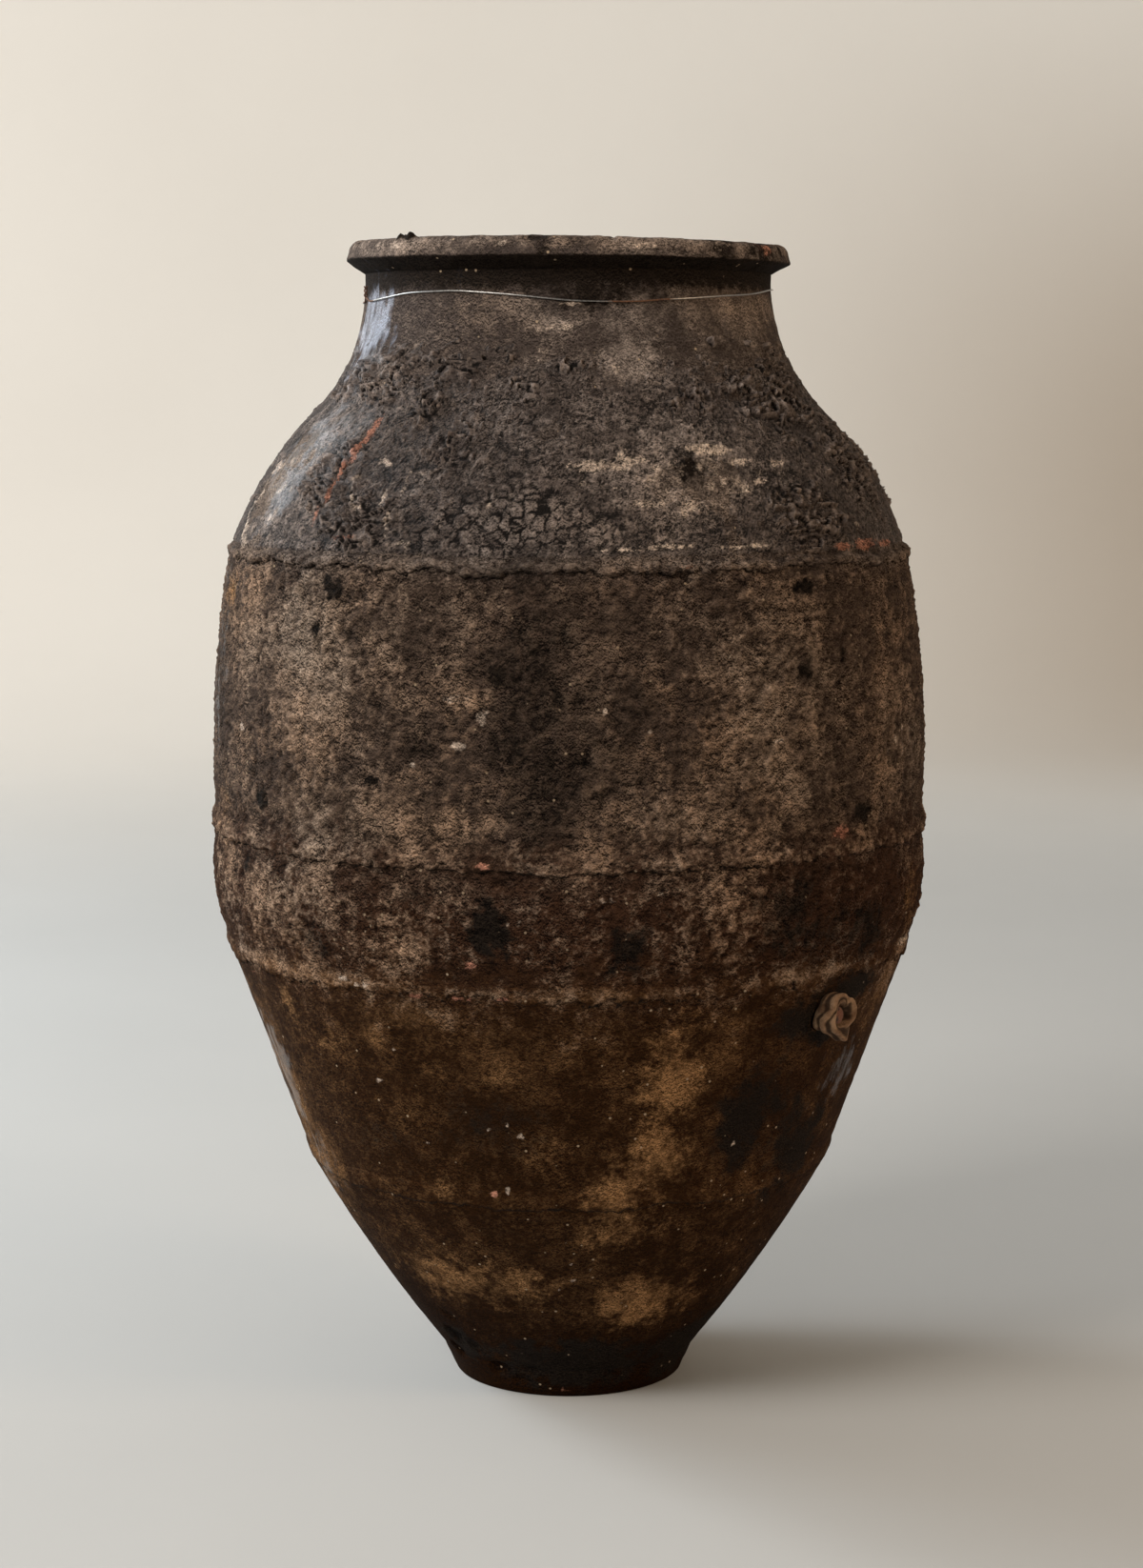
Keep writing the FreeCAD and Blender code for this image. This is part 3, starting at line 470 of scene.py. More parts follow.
def clay_relief(skin):
    """How far worn clay stands out from its true shape, and the rise of its grain."""
    points = skin.points
    height = skin.height / MM
    broad = NOISE.layered(points, 170 * MM, 2)
    uneven = NOISE.layered(points + 3.1, 55 * MM, 2)
    wave = np.sin(height / 1.9 + 2.2 * NOISE.plain(points, 90 * MM))
    ripple = wave * smooth(-0.3, 0.6, NOISE.plain(points, 45 * MM))
    coarse = NOISE.layered(flattened(points, 1.7), 15 * MM, 3, 0.6)
    grain = NOISE.layered(flattened(points, 1.5), 6 * MM, 2, 0.8)
    _, draw, middle = NOISE.cells(points, PIT_SPACING)
    pit = smooth(0.22, 0.06, middle) * (draw > 0.8)
    knob = smooth(0.2, 0.05, middle) * (draw < 0.12)
    gritty = smooth(*GRITTY_FROM, height) * smooth(*GRITTY_TO, height)
    rise = coarse * 0.45 + grain * (0.3 + 0.7 * gritty) - pit * 1.1 * gritty + knob * 0.8
    lift = broad * 0.9 + uneven * 0.45 + ripple * 0.1 * (1.3 - gritty) + rise * (0.3 + 1.0 * gritty)
    pitted = stained(skin, PITS)
    return (lift - pitted) * MM, np.clip(rise * (0.5 + 0.5 * gritty) - pitted * 0.5, -1.6, 1.6)


def clay_masks(skin, rise):
    """Stains of bare clay, soot and painted shade under the rim, and how far each point stands above or below
    the skin round it.
    """
    height = skin.height / MM
    # Soot and painted shade in a band under the rim
    soot_and_shade_under_rim = smooth(*UNDER_RIM_FROM, height) * smooth(*UNDER_RIM_TO, height)
    masks = {kind: stained(skin, marks) for kind, marks in STAINS.items()}
    masks["soot_and_shade"] = np.maximum(masks["soot_and_shade"], soot_and_shade_under_rim * 0.85)
    masks["lime"] = np.maximum(masks["lime"], ringed(skin, LIME_RINGS))
    # Rise of the grain, which the materials paint as light on the crests and as shade in the hollows and pits
    masks["rise"] = rise
    return masks


def wall_line(tree, low, high, step):
    """Outside of a wall from low to high, as radius and height."""
    heights = spaced(low, high, step)
    return np.stack([outer_radii(tree, heights), heights], axis=1)


def make_wall(node, material, scarf=SEAM_SCARF):
    """One lift of the wall: a worn outside, and its plain inside behind the lining."""
    tree = node_tree(node)
    low, high = (corner.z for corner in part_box(node))
    outside = wall_line(tree, low, high - scarf, WALL_STEP)
    heights = spaced(low + SEAM_SCARF, high, INSIDE_STEP)[::-1]
    inside = np.stack([inner_radii(tree, heights), heights], axis=1)
    skin = ring_skin(outside, inside, WALL_SEGMENTS)
    lift, rise = clay_relief(skin)
    masks = clay_masks(skin, rise)
    return make_piece(node + "_worn", skin.place(lift), skin.faces(), masks, material, node)


TAP_HOLE_RADIUS = 12.5 * MM
TAP_HOLE_SIDES = 64
TAP_HOLE_DEPTH = 0.1
TAP_HOLE_SETBACK = 0.02


def cut_tap_hole(wall, tap_height):
    """Round hole through the wall on the tap's axis."""
    bpy.ops.mesh.primitive_cylinder_add(vertices=TAP_HOLE_SIDES, radius=TAP_HOLE_RADIUS, depth=TAP_HOLE_DEPTH)
    cutter = bpy.context.object
    cutter.rotation_euler = (0, math.pi / 2, 0)
    cutter.location = (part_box("lower_belly_section")[1].x - TAP_HOLE_SETBACK, 0, tap_height)
    bpy.context.view_layer.update()
    cut = wall.modifiers.new("tap_hole", "BOOLEAN")
    cut.object = cutter
    cut.operation = "DIFFERENCE"
    cut.solver = "EXACT"
    bpy.context.view_layer.objects.active = wall
    bpy.ops.object.modifier_apply(modifier="tap_hole")
    bpy.data.objects.remove(cutter)


# Bands over the seams: how proud they stand; as shares of their half height, where the crest lies, where the
# lower edge starts to fall and where it has fallen; how far they wander, how broken they are, how pale on
# top with dust and a painted highlight, and how sooty. Below each band's lower edge goes a painted shadow
BANDS = {
    "lower_band": (1.2, 0.35, -0.3, -0.9, 0.25, 0.6, 0.0, 0.3),
    "waist_band": (2.0, 0.0, -0.2, -0.5, 0.4, 1.3, 0.12, 0.1),
    "belly_band": (3.0, 0.1, -0.2, -0.42, 0.18, 0.6, 0.25, 0.0),
    "shoulder_band": (3.8, 0.1, -0.25, -0.6, 0.5, 1.2, 0.2, 0.25),
}
BAND_STEP = 1.0 * MM * COARSE
BAND_MARGIN = 3 * MM
BAND_SINK = 1.2
BAND_DEPTH = 4 * MM
BAND_SEGMENTS = int(1152 / COARSE)


def make_band(node, material):
    """Strip of clay over a seam: it swells gently from above and breaks off sharply below."""
    proud, crest, fall, fallen, wandering, broken, crest_dust_and_highlight, sooty = BANDS[node]
    tree = node_tree(node)
    low, high = (corner.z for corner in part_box(node))
    ends = np.array([low + EDGE, high - EDGE])
    radii = outer_radii(tree, ends)
    heights = spaced(low - BAND_MARGIN, high + BAND_MARGIN, BAND_STEP)
    slope = (radii[1] - radii[0]) / (ends[1] - ends[0])
    outside = np.stack([radii[0] + slope * (heights - ends[0]), heights], axis=1)
    inside = outside[::-1][:: len(outside) - 1] - np.array([BAND_DEPTH, 0])
    skin = ring_skin(outside, inside, BAND_SEGMENTS)
    lift, rise = clay_relief(skin)
    half = (high - low) / 2
    level = skin.points * np.array([1, 1, 0]) + np.array([0, 0, low])
    wander = NOISE.layered(level, 48 * MM, 2) + NOISE.layered(level, 13 * MM, 2) * 0.55 * broken
    share = (skin.height - (low + high) / 2) / half + wander * wandering
    ragged = NOISE.layered(skin.points, 8 * MM, 3, 0.65) * 0.3 * broken
    swell = smooth(1.0, crest, share) * smooth(fallen, fall, share + ragged)
    uneven = 0.3 * NOISE.plain(level, 70 * MM) + 0.5 * broken * NOISE.layered(level, 20 * MM, 2)
    strength = proud * (0.75 + uneven)
    lift += swell * np.maximum(strength, 0.15 * proud) * MM
    lift -= (1 - smooth(0.0, 0.15, swell)) * BAND_SINK * MM
    # The swell is painted a little paler: a painted highlight
    masks = clay_masks(skin, rise + swell * 0.3)
    # Painted shadow beneath the lower edge, and dust with a painted highlight along the crest
    under = smooth(fall, fallen, share + ragged)
    crest_line = smooth(0.75, 1.0, swell + ragged * 0.4)
    masks["dust_and_highlight"] = np.maximum(masks["dust_and_highlight"], crest_line * crest_dust_and_highlight)
    masks["soot_and_shade"] = np.maximum(masks["soot_and_shade"], np.maximum(under * 0.9, sooty * (1 - crest_line)))
    return make_piece(node + "_worn", skin.place(lift), skin.faces(), masks, material, node)


RIM_STEP = 1.5 * MM * COARSE
RIM_TILT = 1.6
RIM_HIGH_BEARING = -125
RIM_WAVE = 0.9
RIM_CHIP = 2.2
# Lumps of pitch on the rim: bearing, half width in degrees, height in millimetres
RIM_LUMPS = ((-96.5, 1.3, 3.2), (-92.8, 1.6, 4.0), (-94.6, 1.2, 2.0), (120, 1.5, 2.5))
RIM_LUMP_PLACE = 0.955
RIM_LUMP_DEPTH = 3.6 * MM


def make_rim(material):
    """Rim: a little tilted and wavy, chipped along its edges, with lumps of pitch on it."""
    low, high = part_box("rim_ring")
    tree = node_tree("rim_ring")
    mouth = inner_radii(tree, [(low.z + high.z) / 2])[0]
    loop = section_loop(tree, ((mouth + high.x) / 2, (low.z + high.z) / 2), RIM_STEP)
    skin = Skin(loop, loop_outward(loop), WALL_SEGMENTS)
    points = skin.points
    share = (skin.height - low.z) / (high.z - low.z)
    outer = smooth(mouth, high.x, skin.radius)
    worn = NOISE.layered(points, 18 * MM, 3, 0.6)
    grain = NOISE.layered(points, 5 * MM, 2)
    level = points * np.array([1, 1, 0])
    chip = smooth(0.35, 0.9, NOISE.layered(level + 1.7, 16 * MM, 3)) * smooth(0.75, 0.95, share) * outer
    lift = NOISE.plain(points, 90 * MM) * 0.6 + worn * 0.4 + grain * 0.22 - chip * RIM_CHIP
    lumps = np.zeros(len(points))
    for bearing, half_width, tall in RIM_LUMPS:
        across = bearing_gap(skin.bearing, bearing) / half_width
        radial = (skin.radius - RIM_LUMP_PLACE * high.x) / RIM_LUMP_DEPTH
        bump = smooth(1.25, 0.1, np.hypot(across, radial) + worn * 0.25) * smooth(0.8, 0.95, share)
        lumps = np.maximum(lumps, bump * tall)
    lift += lumps
    placed = skin.place(lift * MM)
    tilt = np.cos(np.radians(bearing_gap(skin.bearing, RIM_HIGH_BEARING))) * RIM_TILT
    wave = NOISE.plain(level, 75 * MM) * RIM_WAVE
    placed[:, 2] += (tilt + wave) * smooth(0.05, 0.5, share) * MM
    rise = worn * 0.5 + grain * 0.5 - chip * 0.6
    masks = clay_masks(skin, np.clip(rise, -1.5, 1.5))
    blotch = smooth(0.1, 0.5, NOISE.layered(points + 8.8, 22 * MM, 3))
    # Soot and painted shade on the rim's underside, with black pitch lumps and blotches of soot
    sooty = [masks["soot_and_shade"], np.minimum(lumps, 1), smooth(0.5, 0.3, share), blotch * 0.6]
    masks["soot_and_shade"] = np.maximum.reduce(sooty)
    masks["dust_and_highlight"] = np.maximum(masks["dust_and_highlight"], 0.45 * smooth(0.5, 0.8, share) * (1 - blotch))
    return make_piece("rim_ring_worn", placed, skin.faces(), masks, material, "rim_ring")


AXIS_RADIUS = 0.5 * MM
FOOT_ROUND = 1.2 * MM
BASE_RINGS = 16
FLOOR_SHARE = 0.7


def make_base(material):
    """Foot and floor of the jar, worn round its edge."""
    tree = node_tree("base_disc")
    low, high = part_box("base_disc")
    heel = high.z - SEAM_SCARF
    side = wall_line(tree, FOOT_ROUND, heel, WALL_STEP)
    foot_radius = outer_radii(tree, [EDGE])[0]
    rings = np.linspace(AXIS_RADIUS, foot_radius - FOOT_ROUND, BASE_RINGS)
    under = np.array([(radius, 0.0) for radius in rings])
    edge = np.array([(foot_radius - 0.3 * FOOT_ROUND, 0.3 * FOOT_ROUND)])
    top = []
    for radius in np.linspace(high.x * FLOOR_SHARE, AXIS_RADIUS, BASE_RINGS):
        hit = tree.ray_cast(Vector((0, radius, 1)), -UP)[0]
        top.append((radius, hit.z))
    line = np.concatenate([under, edge, side, np.array(top)])
    outward = np.zeros_like(line)
    start = len(under) + len(edge)
    outward[start:start + len(side)] = line_outward(side)
    skin = Skin(line, outward, WALL_SEGMENTS)
    lift, rise = clay_relief(skin)
    lift *= smooth(0, 3, skin.height / MM)
    faces = capped_faces(skin.rows, skin.segments)
    masks = clay_masks(skin, rise)
    return make_piece("base_disc_worn", skin.place(lift), faces, masks, material, "base_disc")


# Pitch

COAT_SUNK = 0.9
COAT_THIN = 0.2
COAT_DEPTH = 3 * MM
COAT_INSIDE_SKIP = 20
# Sizes of what the pitch broke into: great flakes, small flakes and cells
FLAKE_SIZE = 30 * MM
CRUMB_SIZE = 13 * MM
FLAKE_RISE = 4.4
CRUMB_RISE = 0.8
# Height in which one more layer of flakes hangs over the next
FLAKE_DROP = 26 * MM
CELL_SIZE = 9 * MM
CELL_WARP = 2.4 * MM


def flaked(points, size, layers):
    """Layers that curl up to a broken edge: their rise, a painted highlight along their edges and a painted
    shadow at the foot below each.
    """
    level = NOISE.layered(points, size, 3, 0.55) * layers - points[:, 2] / FLAKE_DROP
    part = level - np.floor(level)
    curl = part ** 1.8 * smooth(1.0, 0.95, part)
    return curl, smooth(0.55, 0.9, part) * smooth(1.0, 0.95, part), smooth(0.2, 0.03, part)


def make_coat(material):
    """Pitch over the shoulder: thin and crumbly, torn into curling flakes and cracked into cells."""
    low, high = (corner.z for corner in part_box("shoulder_pitch_coat"))
    outside = wall_line(node_tree("shoulder_section"), low, high, COAT_STEP)
    inside = outside[::-1][::COAT_INSIDE_SKIP] - np.array([COAT_DEPTH, 0])
    skin = ring_skin(outside, inside, COAT_SEGMENTS)
    points = skin.points
    under, _ = clay_relief(skin)
    crumbled = stained(skin, CRUMBLED)
    celled = stained(skin, CELLED)
    bare = stained(skin, BARE)

    lumps = NOISE.layered(flattened(points, 1.8), 20 * MM, 3, 0.6)
    grain = NOISE.layered(flattened(points, 1.4), 5 * MM, 2, 0.7)
    torn = smooth(0.15, 0.65, crumbled + lumps * 0.35)
    crumb, crumb_highlight, crumb_shadow = flaked(flattened(points, 1.5), CRUMB_SIZE, 1.9)
    flake, flake_highlight, flake_shadow = flaked(flattened(points + 4.2, 1.6), FLAKE_SIZE, 2.2)
    warp = np.stack([NOISE.layered(points + shift, 13 * MM, 2) for shift in (0.0, 2.3, 4.9)], axis=1)
    border, draw, _ = NOISE.cells(points + warp * CELL_WARP, CELL_SIZE)
    crack = smooth(0.13, 0.03, border + grain * 0.03)

    cover = 0.85 + 0.5 * NOISE.layered(points + 5.5, 34 * MM, 3, 0.55)
    cover += 0.6 * crumbled + 0.6 * celled - 1.1 * bare
    film = smooth(0.3, 0.6, cover + grain * 0.12)
    fine = 1 - 0.7 * celled
    shape = 0.4 + 0.35 * lumps + 0.3 * grain + crumb * CRUMB_RISE * fine + torn * flake * FLAKE_RISE
    split = celled * crack
    shape = (shape + celled * (0.4 + 0.6 * draw)) * (1 - split) + COAT_THIN * split
    lift = film * np.maximum(shape, COAT_THIN) - (1 - film) * COAT_SUNK
    ends = smooth(0, 2.5, (skin.height - low) / MM + grain)
    ends *= smooth(0, 5, (high - skin.height) / MM + lumps * 30 - 14)
    lift = lift * ends - (1 - ends) * COAT_SUNK
    lift = under + lift * MM

    # Rise for the colour: painted highlights on the flakes' edges, painted shadow at their feet, and dark
    # cracks
    rise = 0.3 * lumps + 0.35 * grain + fine * (0.4 * crumb_highlight - 0.8 * crumb_shadow)
    rise += torn * (1.1 * flake_highlight - 1.7 * flake_shadow) + celled * 0.3 - 1.7 * split
    masks = clay_masks(skin, np.clip(rise * film, -1.8, 1.5))
    points = skin.place(lift)
    return make_piece("shoulder_pitch", points, skin.faces(), masks, material, "shoulder_pitch_coat")


# Wire

WIRE_RADIUS = 0.55 * MM
WIRE_STAND_OFF = 0.8 * MM
WIRE_TWIST_BEARING = -123
# Bearing from the tap and height, in degrees and millimetres
WIRE_ROUTE = (
    (-110, 761.5), (-95, 765), (-80, 766), (-64, 763.5), (-46, 759), (-28, 758.5), (-8, 762), (12, 765),
    (28, 769), (52, 770.5), (80, 767), (110, 762), (140, 760), (170, 765), (198, 763.5), (222, 760),
)
WIRE_SPACING = 1.2
WIRE_EASE = 7
WIRE_KINK_SPACING = 9
WIRE_KINK = 0.35 * MM
WIRE_SIDES = 8
STEEP = 0.15
TWIST_SWING = 0.95 * MM
TWIST_PITCH = 6 * MM
TWIST_TURNS = 1.25
TWIST_POINTS = 24
TWIST_LEAD = 3.2
TWIST_RISE = 2.7 * MM
# Stretches of the wire that rusted: bearing and half width
RUSTED = ((-123, 7), (-28, 9), (60, 12), (150, 10), (200, 8))


def wire_points():
    """Middle line of the wire: down one strand of its twist, round the neck and up the other."""
    tree = node_tree("neck_section")
    bearings = np.array([bearing for bearing, _ in WIRE_ROUTE], float)
    heights = np.array([height for _, height in WIRE_ROUTE]) * MM
    twist_height = (heights[0] + heights[-1]) / 2
    start, end = WIRE_TWIST_BEARING + TWIST_LEAD, WIRE_TWIST_BEARING + 360 - TWIST_LEAD
    bearings = np.concatenate([[start], bearings, [end]])
    heights = np.concatenate([[twist_height], heights, [twist_height]])
    around = np.arange(bearings[0], bearings[-1], WIRE_SPACING)
    along = np.interp(around, bearings, heights)
    padded = np.concatenate([np.full(WIRE_EASE, along[0]), along, np.full(WIRE_EASE, along[-1])])
    kernel = np.hanning(2 * WIRE_EASE + 1)
    along = np.convolve(padded, kernel / kernel.sum(), "valid")
    kinks = around[::WIRE_KINK_SPACING]
    along += np.interp(around, kinks, np.random.default_rng(20).normal(size=len(kinks))) * WIRE_KINK
    radius = outer_radii(tree, along) + WIRE_STAND_OFF
    turn = np.radians(around)
    loop = np.stack([radius * np.cos(turn), radius * np.sin(turn), along], axis=1)

    place = math.radians(WIRE_TWIST_BEARING)
    out = np.array([math.cos(place), math.sin(place), 0])
    onward = np.array([-math.sin(place), math.cos(place), 0])
    foot = out * (radius[0] + TWIST_SWING) + np.array([0, 0, twist_height + TWIST_RISE])
    spins = np.linspace(0, TWIST_TURNS * 2 * math.pi, TWIST_POINTS)[:, None]
    swing = onward * np.cos(spins) + out * np.sin(spins)
    climb = np.array([0, 0, 1]) * (TWIST_PITCH * spins / (2 * math.pi))
    first = foot + swing * TWIST_SWING + climb
    second = foot - swing * TWIST_SWING + climb
    return np.concatenate([first[::-1], loop, second])


def tube(points, radius, sides):
    """Points and faces of a round tube along a line, with closed ends."""
    way = np.gradient(points, axis=0)
    way /= np.linalg.norm(way, axis=1, keepdims=True)
    across = np.cross(way, [0, 0, 1.0])
    steep = np.linalg.norm(across, axis=1) < STEEP
    across[steep] = np.cross(way[steep], points[steep] * np.array([1, 1, 0]))
    across /= np.linalg.norm(across, axis=1, keepdims=True)
    above = np.cross(across, way)
    spin = np.linspace(0, 2 * math.pi, sides, endpoint=False)
    ring = across[:, None] * np.cos(spin)[None, :, None] + above[:, None] * np.sin(spin)[None, :, None]
    body = (points[:, None] + ring * radius).reshape(-1, 3)
    return body, capped_faces(len(points), sides)


def make_wire(material):
    """Thin wire tied round the neck, bright where it was rubbed and brown where it rusted."""
    middle = wire_points()
    points, faces = tube(middle, WIRE_RADIUS, WIRE_SIDES)
    bearing = np.degrees(np.arctan2(points[:, 1], points[:, 0]))
    rust = np.zeros(len(points))
    for place, half_width in RUSTED:
        rust = np.maximum(rust, smooth(1.4, 0.6, np.abs(bearing_gap(bearing, place)) / half_width))
    rust = np.clip(rust + NOISE.layered(points, 6 * MM, 2) * 0.25, 0, 1)
    return make_piece("tied_wire", points, faces, {"rust": rust}, material, "neck_wire")


# Bung

def tap_axis():
    """Height of the tap's axis, from the peg."""
    low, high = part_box("tap_peg")
    return (low.z + high.z) / 2


TAP_HEIGHT = tap_axis()
PEG_SIDES = 64
PEG_ROWS = 40
# The split in the peg: where it lies, its half width and its depth
PEG_SPLIT = (2.1, 0.09, 0.16)
PEG_CROWN = 0.8 * MM


def make_peg(material):
    """Tapered wooden peg, split a little and worn round its head."""
    low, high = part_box("tap_peg")
    head = (high.z - low.z) / 2
    tree = node_tree("tap_peg")
    lengths = np.linspace(low.x + EDGE, high.x - PEG_CROWN, PEG_ROWS)
    radii = []
    for length in lengths:
        hit = tree.ray_cast(Vector((length, 0, TAP_HEIGHT + 0.05)), -UP)[0]
        radii.append(hit.z - TAP_HEIGHT)
    line = [(0.02 * head, low.x), (0.5 * radii[0], low.x)] + list(zip(radii, lengths))
    line += [(0.93 * head, high.x - 0.45 * PEG_CROWN), (0.75 * head, high.x - 0.2 * PEG_CROWN)]
    line += [(share * head, high.x) for share in (0.5, 0.25, 0.02)]
    line = np.array(line)
    spin = np.linspace(0, 2 * math.pi, PEG_SIDES, endpoint=False)
    radius = line[:, 0][:, None] * np.ones(PEG_SIDES)
    facet = 1 + 0.02 * np.sin(5 * spin + 1) + 0.012 * np.sin(11 * spin)
    place, half_width, depth = PEG_SPLIT
    split = 1 - depth * np.exp(-((spin - place) / half_width) ** 2)
    radius = radius * facet * split
    length = np.repeat(line[:, 1][:, None], PEG_SIDES, axis=1)
    points = np.stack([length, radius * np.cos(spin), TAP_HEIGHT + radius * np.sin(spin)], axis=-1)
    points = points.reshape(-1, 3)
    points[:, 0] += NOISE.layered(points, 3 * MM, 2) * 0.12 * MM * smooth(0, 1.5, (points[:, 0] - low.x) / MM)
    faces = capped_faces(len(line), PEG_SIDES)
    return make_piece("whittled_peg", points, faces, {}, material, "tap_peg", "bung")


RAG_TURNS = 3.0
RAG_FIRST_RADIUS = 6.5 * MM
RAG_PITCH = 1.6 * MM
RAG_THICKNESS = 0.9 * MM
RAG_OUTER_FROM = 1.75
RAG_COLUMNS = 420
RAG_ROWS = 64
RAG_INNER_FRONT = 9.5 * MM
# The collar's rolled section: how far along the roll, how far from the wall to the front, radius in mm
RAG_ROLL = (
    (0.0, 0.0, 12.4), (0.16, 0.3, 13.4), (0.34, 0.66, 13.8), (0.5, 0.92, 12.6), (0.62, 1.0, 10.8),
    (0.74, 0.95, 8.6), (0.86, 0.7, 7.5), (1.0, 0.35, 7.2),
)
# Lobes of the collar: bearing round the tap from its right side, half width in degrees, reach in millimetres
RAG_LOBES = ((180, 45, -2.4), (112, 30, 2.4), (68, 11, -3.4), (0, 45, 2.2), (-100, 24, -1.0), (-20, 14, 1.2))
RAG_TAIL = (-62, 13, 9.0)
RAG_LEAN = 0.18
RAG_ASIDE = 2.8 * MM
RAG_FOLD = 0.55
RAG_FRONT_FOLD = 0.4
RAG_FRONT_MARGIN = 1.2 * MM
RAG_LEAST_REACH = 3 * MM
# Length and radius of the plain collar on which the folds' noise is read
RAG_NOISE_LENGTH = 0.014
RAG_NOISE_RADIUS = 0.012


def make_rag(material):
    """Strip of sackcloth wound round the peg: turns in the hole, then a rolled collar with a loose corner."""
    low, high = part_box("tap_rag")
    bottom, top = (corner.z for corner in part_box("lower_belly_section"))
    wall = wall_line(node_tree("lower_belly_section"), bottom, top, 4 * MM)
    turns = np.linspace(0, RAG_TURNS, RAG_COLUMNS)
    spiral = RAG_FIRST_RADIUS + RAG_PITCH * turns
    spin = 2 * math.pi * (RAG_TURNS - turns)
    degrees = np.degrees(spin)
    outer = smooth(RAG_OUTER_FROM, RAG_OUTER_FROM + 0.25, turns)[:, None]
    along = np.linspace(0, 1, RAG_ROWS)[None, :]

    lobe = np.zeros(RAG_COLUMNS)
    for bearing, half_width, reach in RAG_LOBES:
        lobe += reach * MM * np.exp(-(bearing_gap(degrees, bearing) / half_width) ** 2)
    bearing, half_width, reach = RAG_TAIL
    tail = reach * MM * np.exp(-np.abs(bearing_gap(degrees, bearing) / half_width) ** 1.3)
    roll = np.array(RAG_ROLL)
    reach_out = np.interp(along[0], roll[:, 0], roll[:, 1])[None, :]
    rolled = np.interp(along[0], roll[:, 0], roll[:, 2])[None, :] * MM
    body = smooth(1.0, 0.62, along)
    corner = tail[:, None] * smooth(0.08, 0.3, along) * smooth(0.72, 0.5, along)
    rolled = rolled + lobe[:, None] * body + corner
    sample = np.stack([
        reach_out * RAG_NOISE_LENGTH * np.ones((RAG_COLUMNS, 1)),
        np.cos(spin)[:, None] * RAG_NOISE_RADIUS * np.ones((1, RAG_ROWS)),
        np.sin(spin)[:, None] * RAG_NOISE_RADIUS * np.ones((1, RAG_ROWS)),
    ], axis=-1).reshape(-1, 3)
    swirl = NOISE.plain(sample, 9 * MM).reshape(rolled.shape)
    creases = NOISE.layered(sample, 5 * MM, 2).reshape(rolled.shape)
    folds = np.sin(spin[:, None] * 2 + 21 * along + 2.4 * swirl) + 0.7 * creases
    rolled = rolled + folds * RAG_FOLD * MM * smooth(0.02, 0.25, along)
    radius = spiral[:, None] * (1 - outer) + rolled * outer
    across = radius * np.cos(spin)[:, None] + outer * RAG_ASIDE * smooth(0.2, 0.6, along)
    up = radius * np.sin(spin)[:, None]

    face_radius = np.interp(TAP_HEIGHT + up, wall[:, 1], wall[:, 0])
    face = np.sqrt(face_radius ** 2 - across ** 2) + RAG_THICKNESS
    front = high.x - RAG_FRONT_MARGIN + RAG_LEAN * up + folds * RAG_FRONT_FOLD * MM
    collar = face + np.maximum(front - face, RAG_LEAST_REACH) * reach_out
    inside = low.x + RAG_THICKNESS + (high.x - RAG_INNER_FRONT - low.x) * along
    length = inside * (1 - outer) + collar * outer

    points = np.stack([length, across, TAP_HEIGHT + up], axis=-1)
    run = np.linalg.norm(np.diff(points[:, RAG_ROWS // 2], axis=0), axis=1)
    weft = np.concatenate([[0], np.cumsum(run)])
    widths = np.linalg.norm(np.diff(points, axis=1), axis=2).sum(axis=1)
    row = np.arange(RAG_COLUMNS - 1)[:, None]
    column = np.arange(RAG_ROWS - 1)[None, :]
    at = row * RAG_ROWS + column
    faces = np.stack([at, at + RAG_ROWS, at + RAG_ROWS + 1, at + 1], axis=-1).reshape(-1, 4).tolist()
    masks = {
        "weft": np.repeat(weft, RAG_ROWS),
        "warp": (widths[:, None] * along).ravel(),
        "outside": (outer * np.ones_like(along)).ravel(),
        "fold": np.clip(folds, -1.5, 1.5).ravel(),
    }
    points = points.reshape(-1, 3)
    rag = make_piece("wound_rag", points, faces, masks, material, "tap_rag", "bung")
    thick = rag.modifiers.new("thickness", "SOLIDIFY")
    thick.thickness = RAG_THICKNESS
    thick.offset = 0
    return rag


# Materials

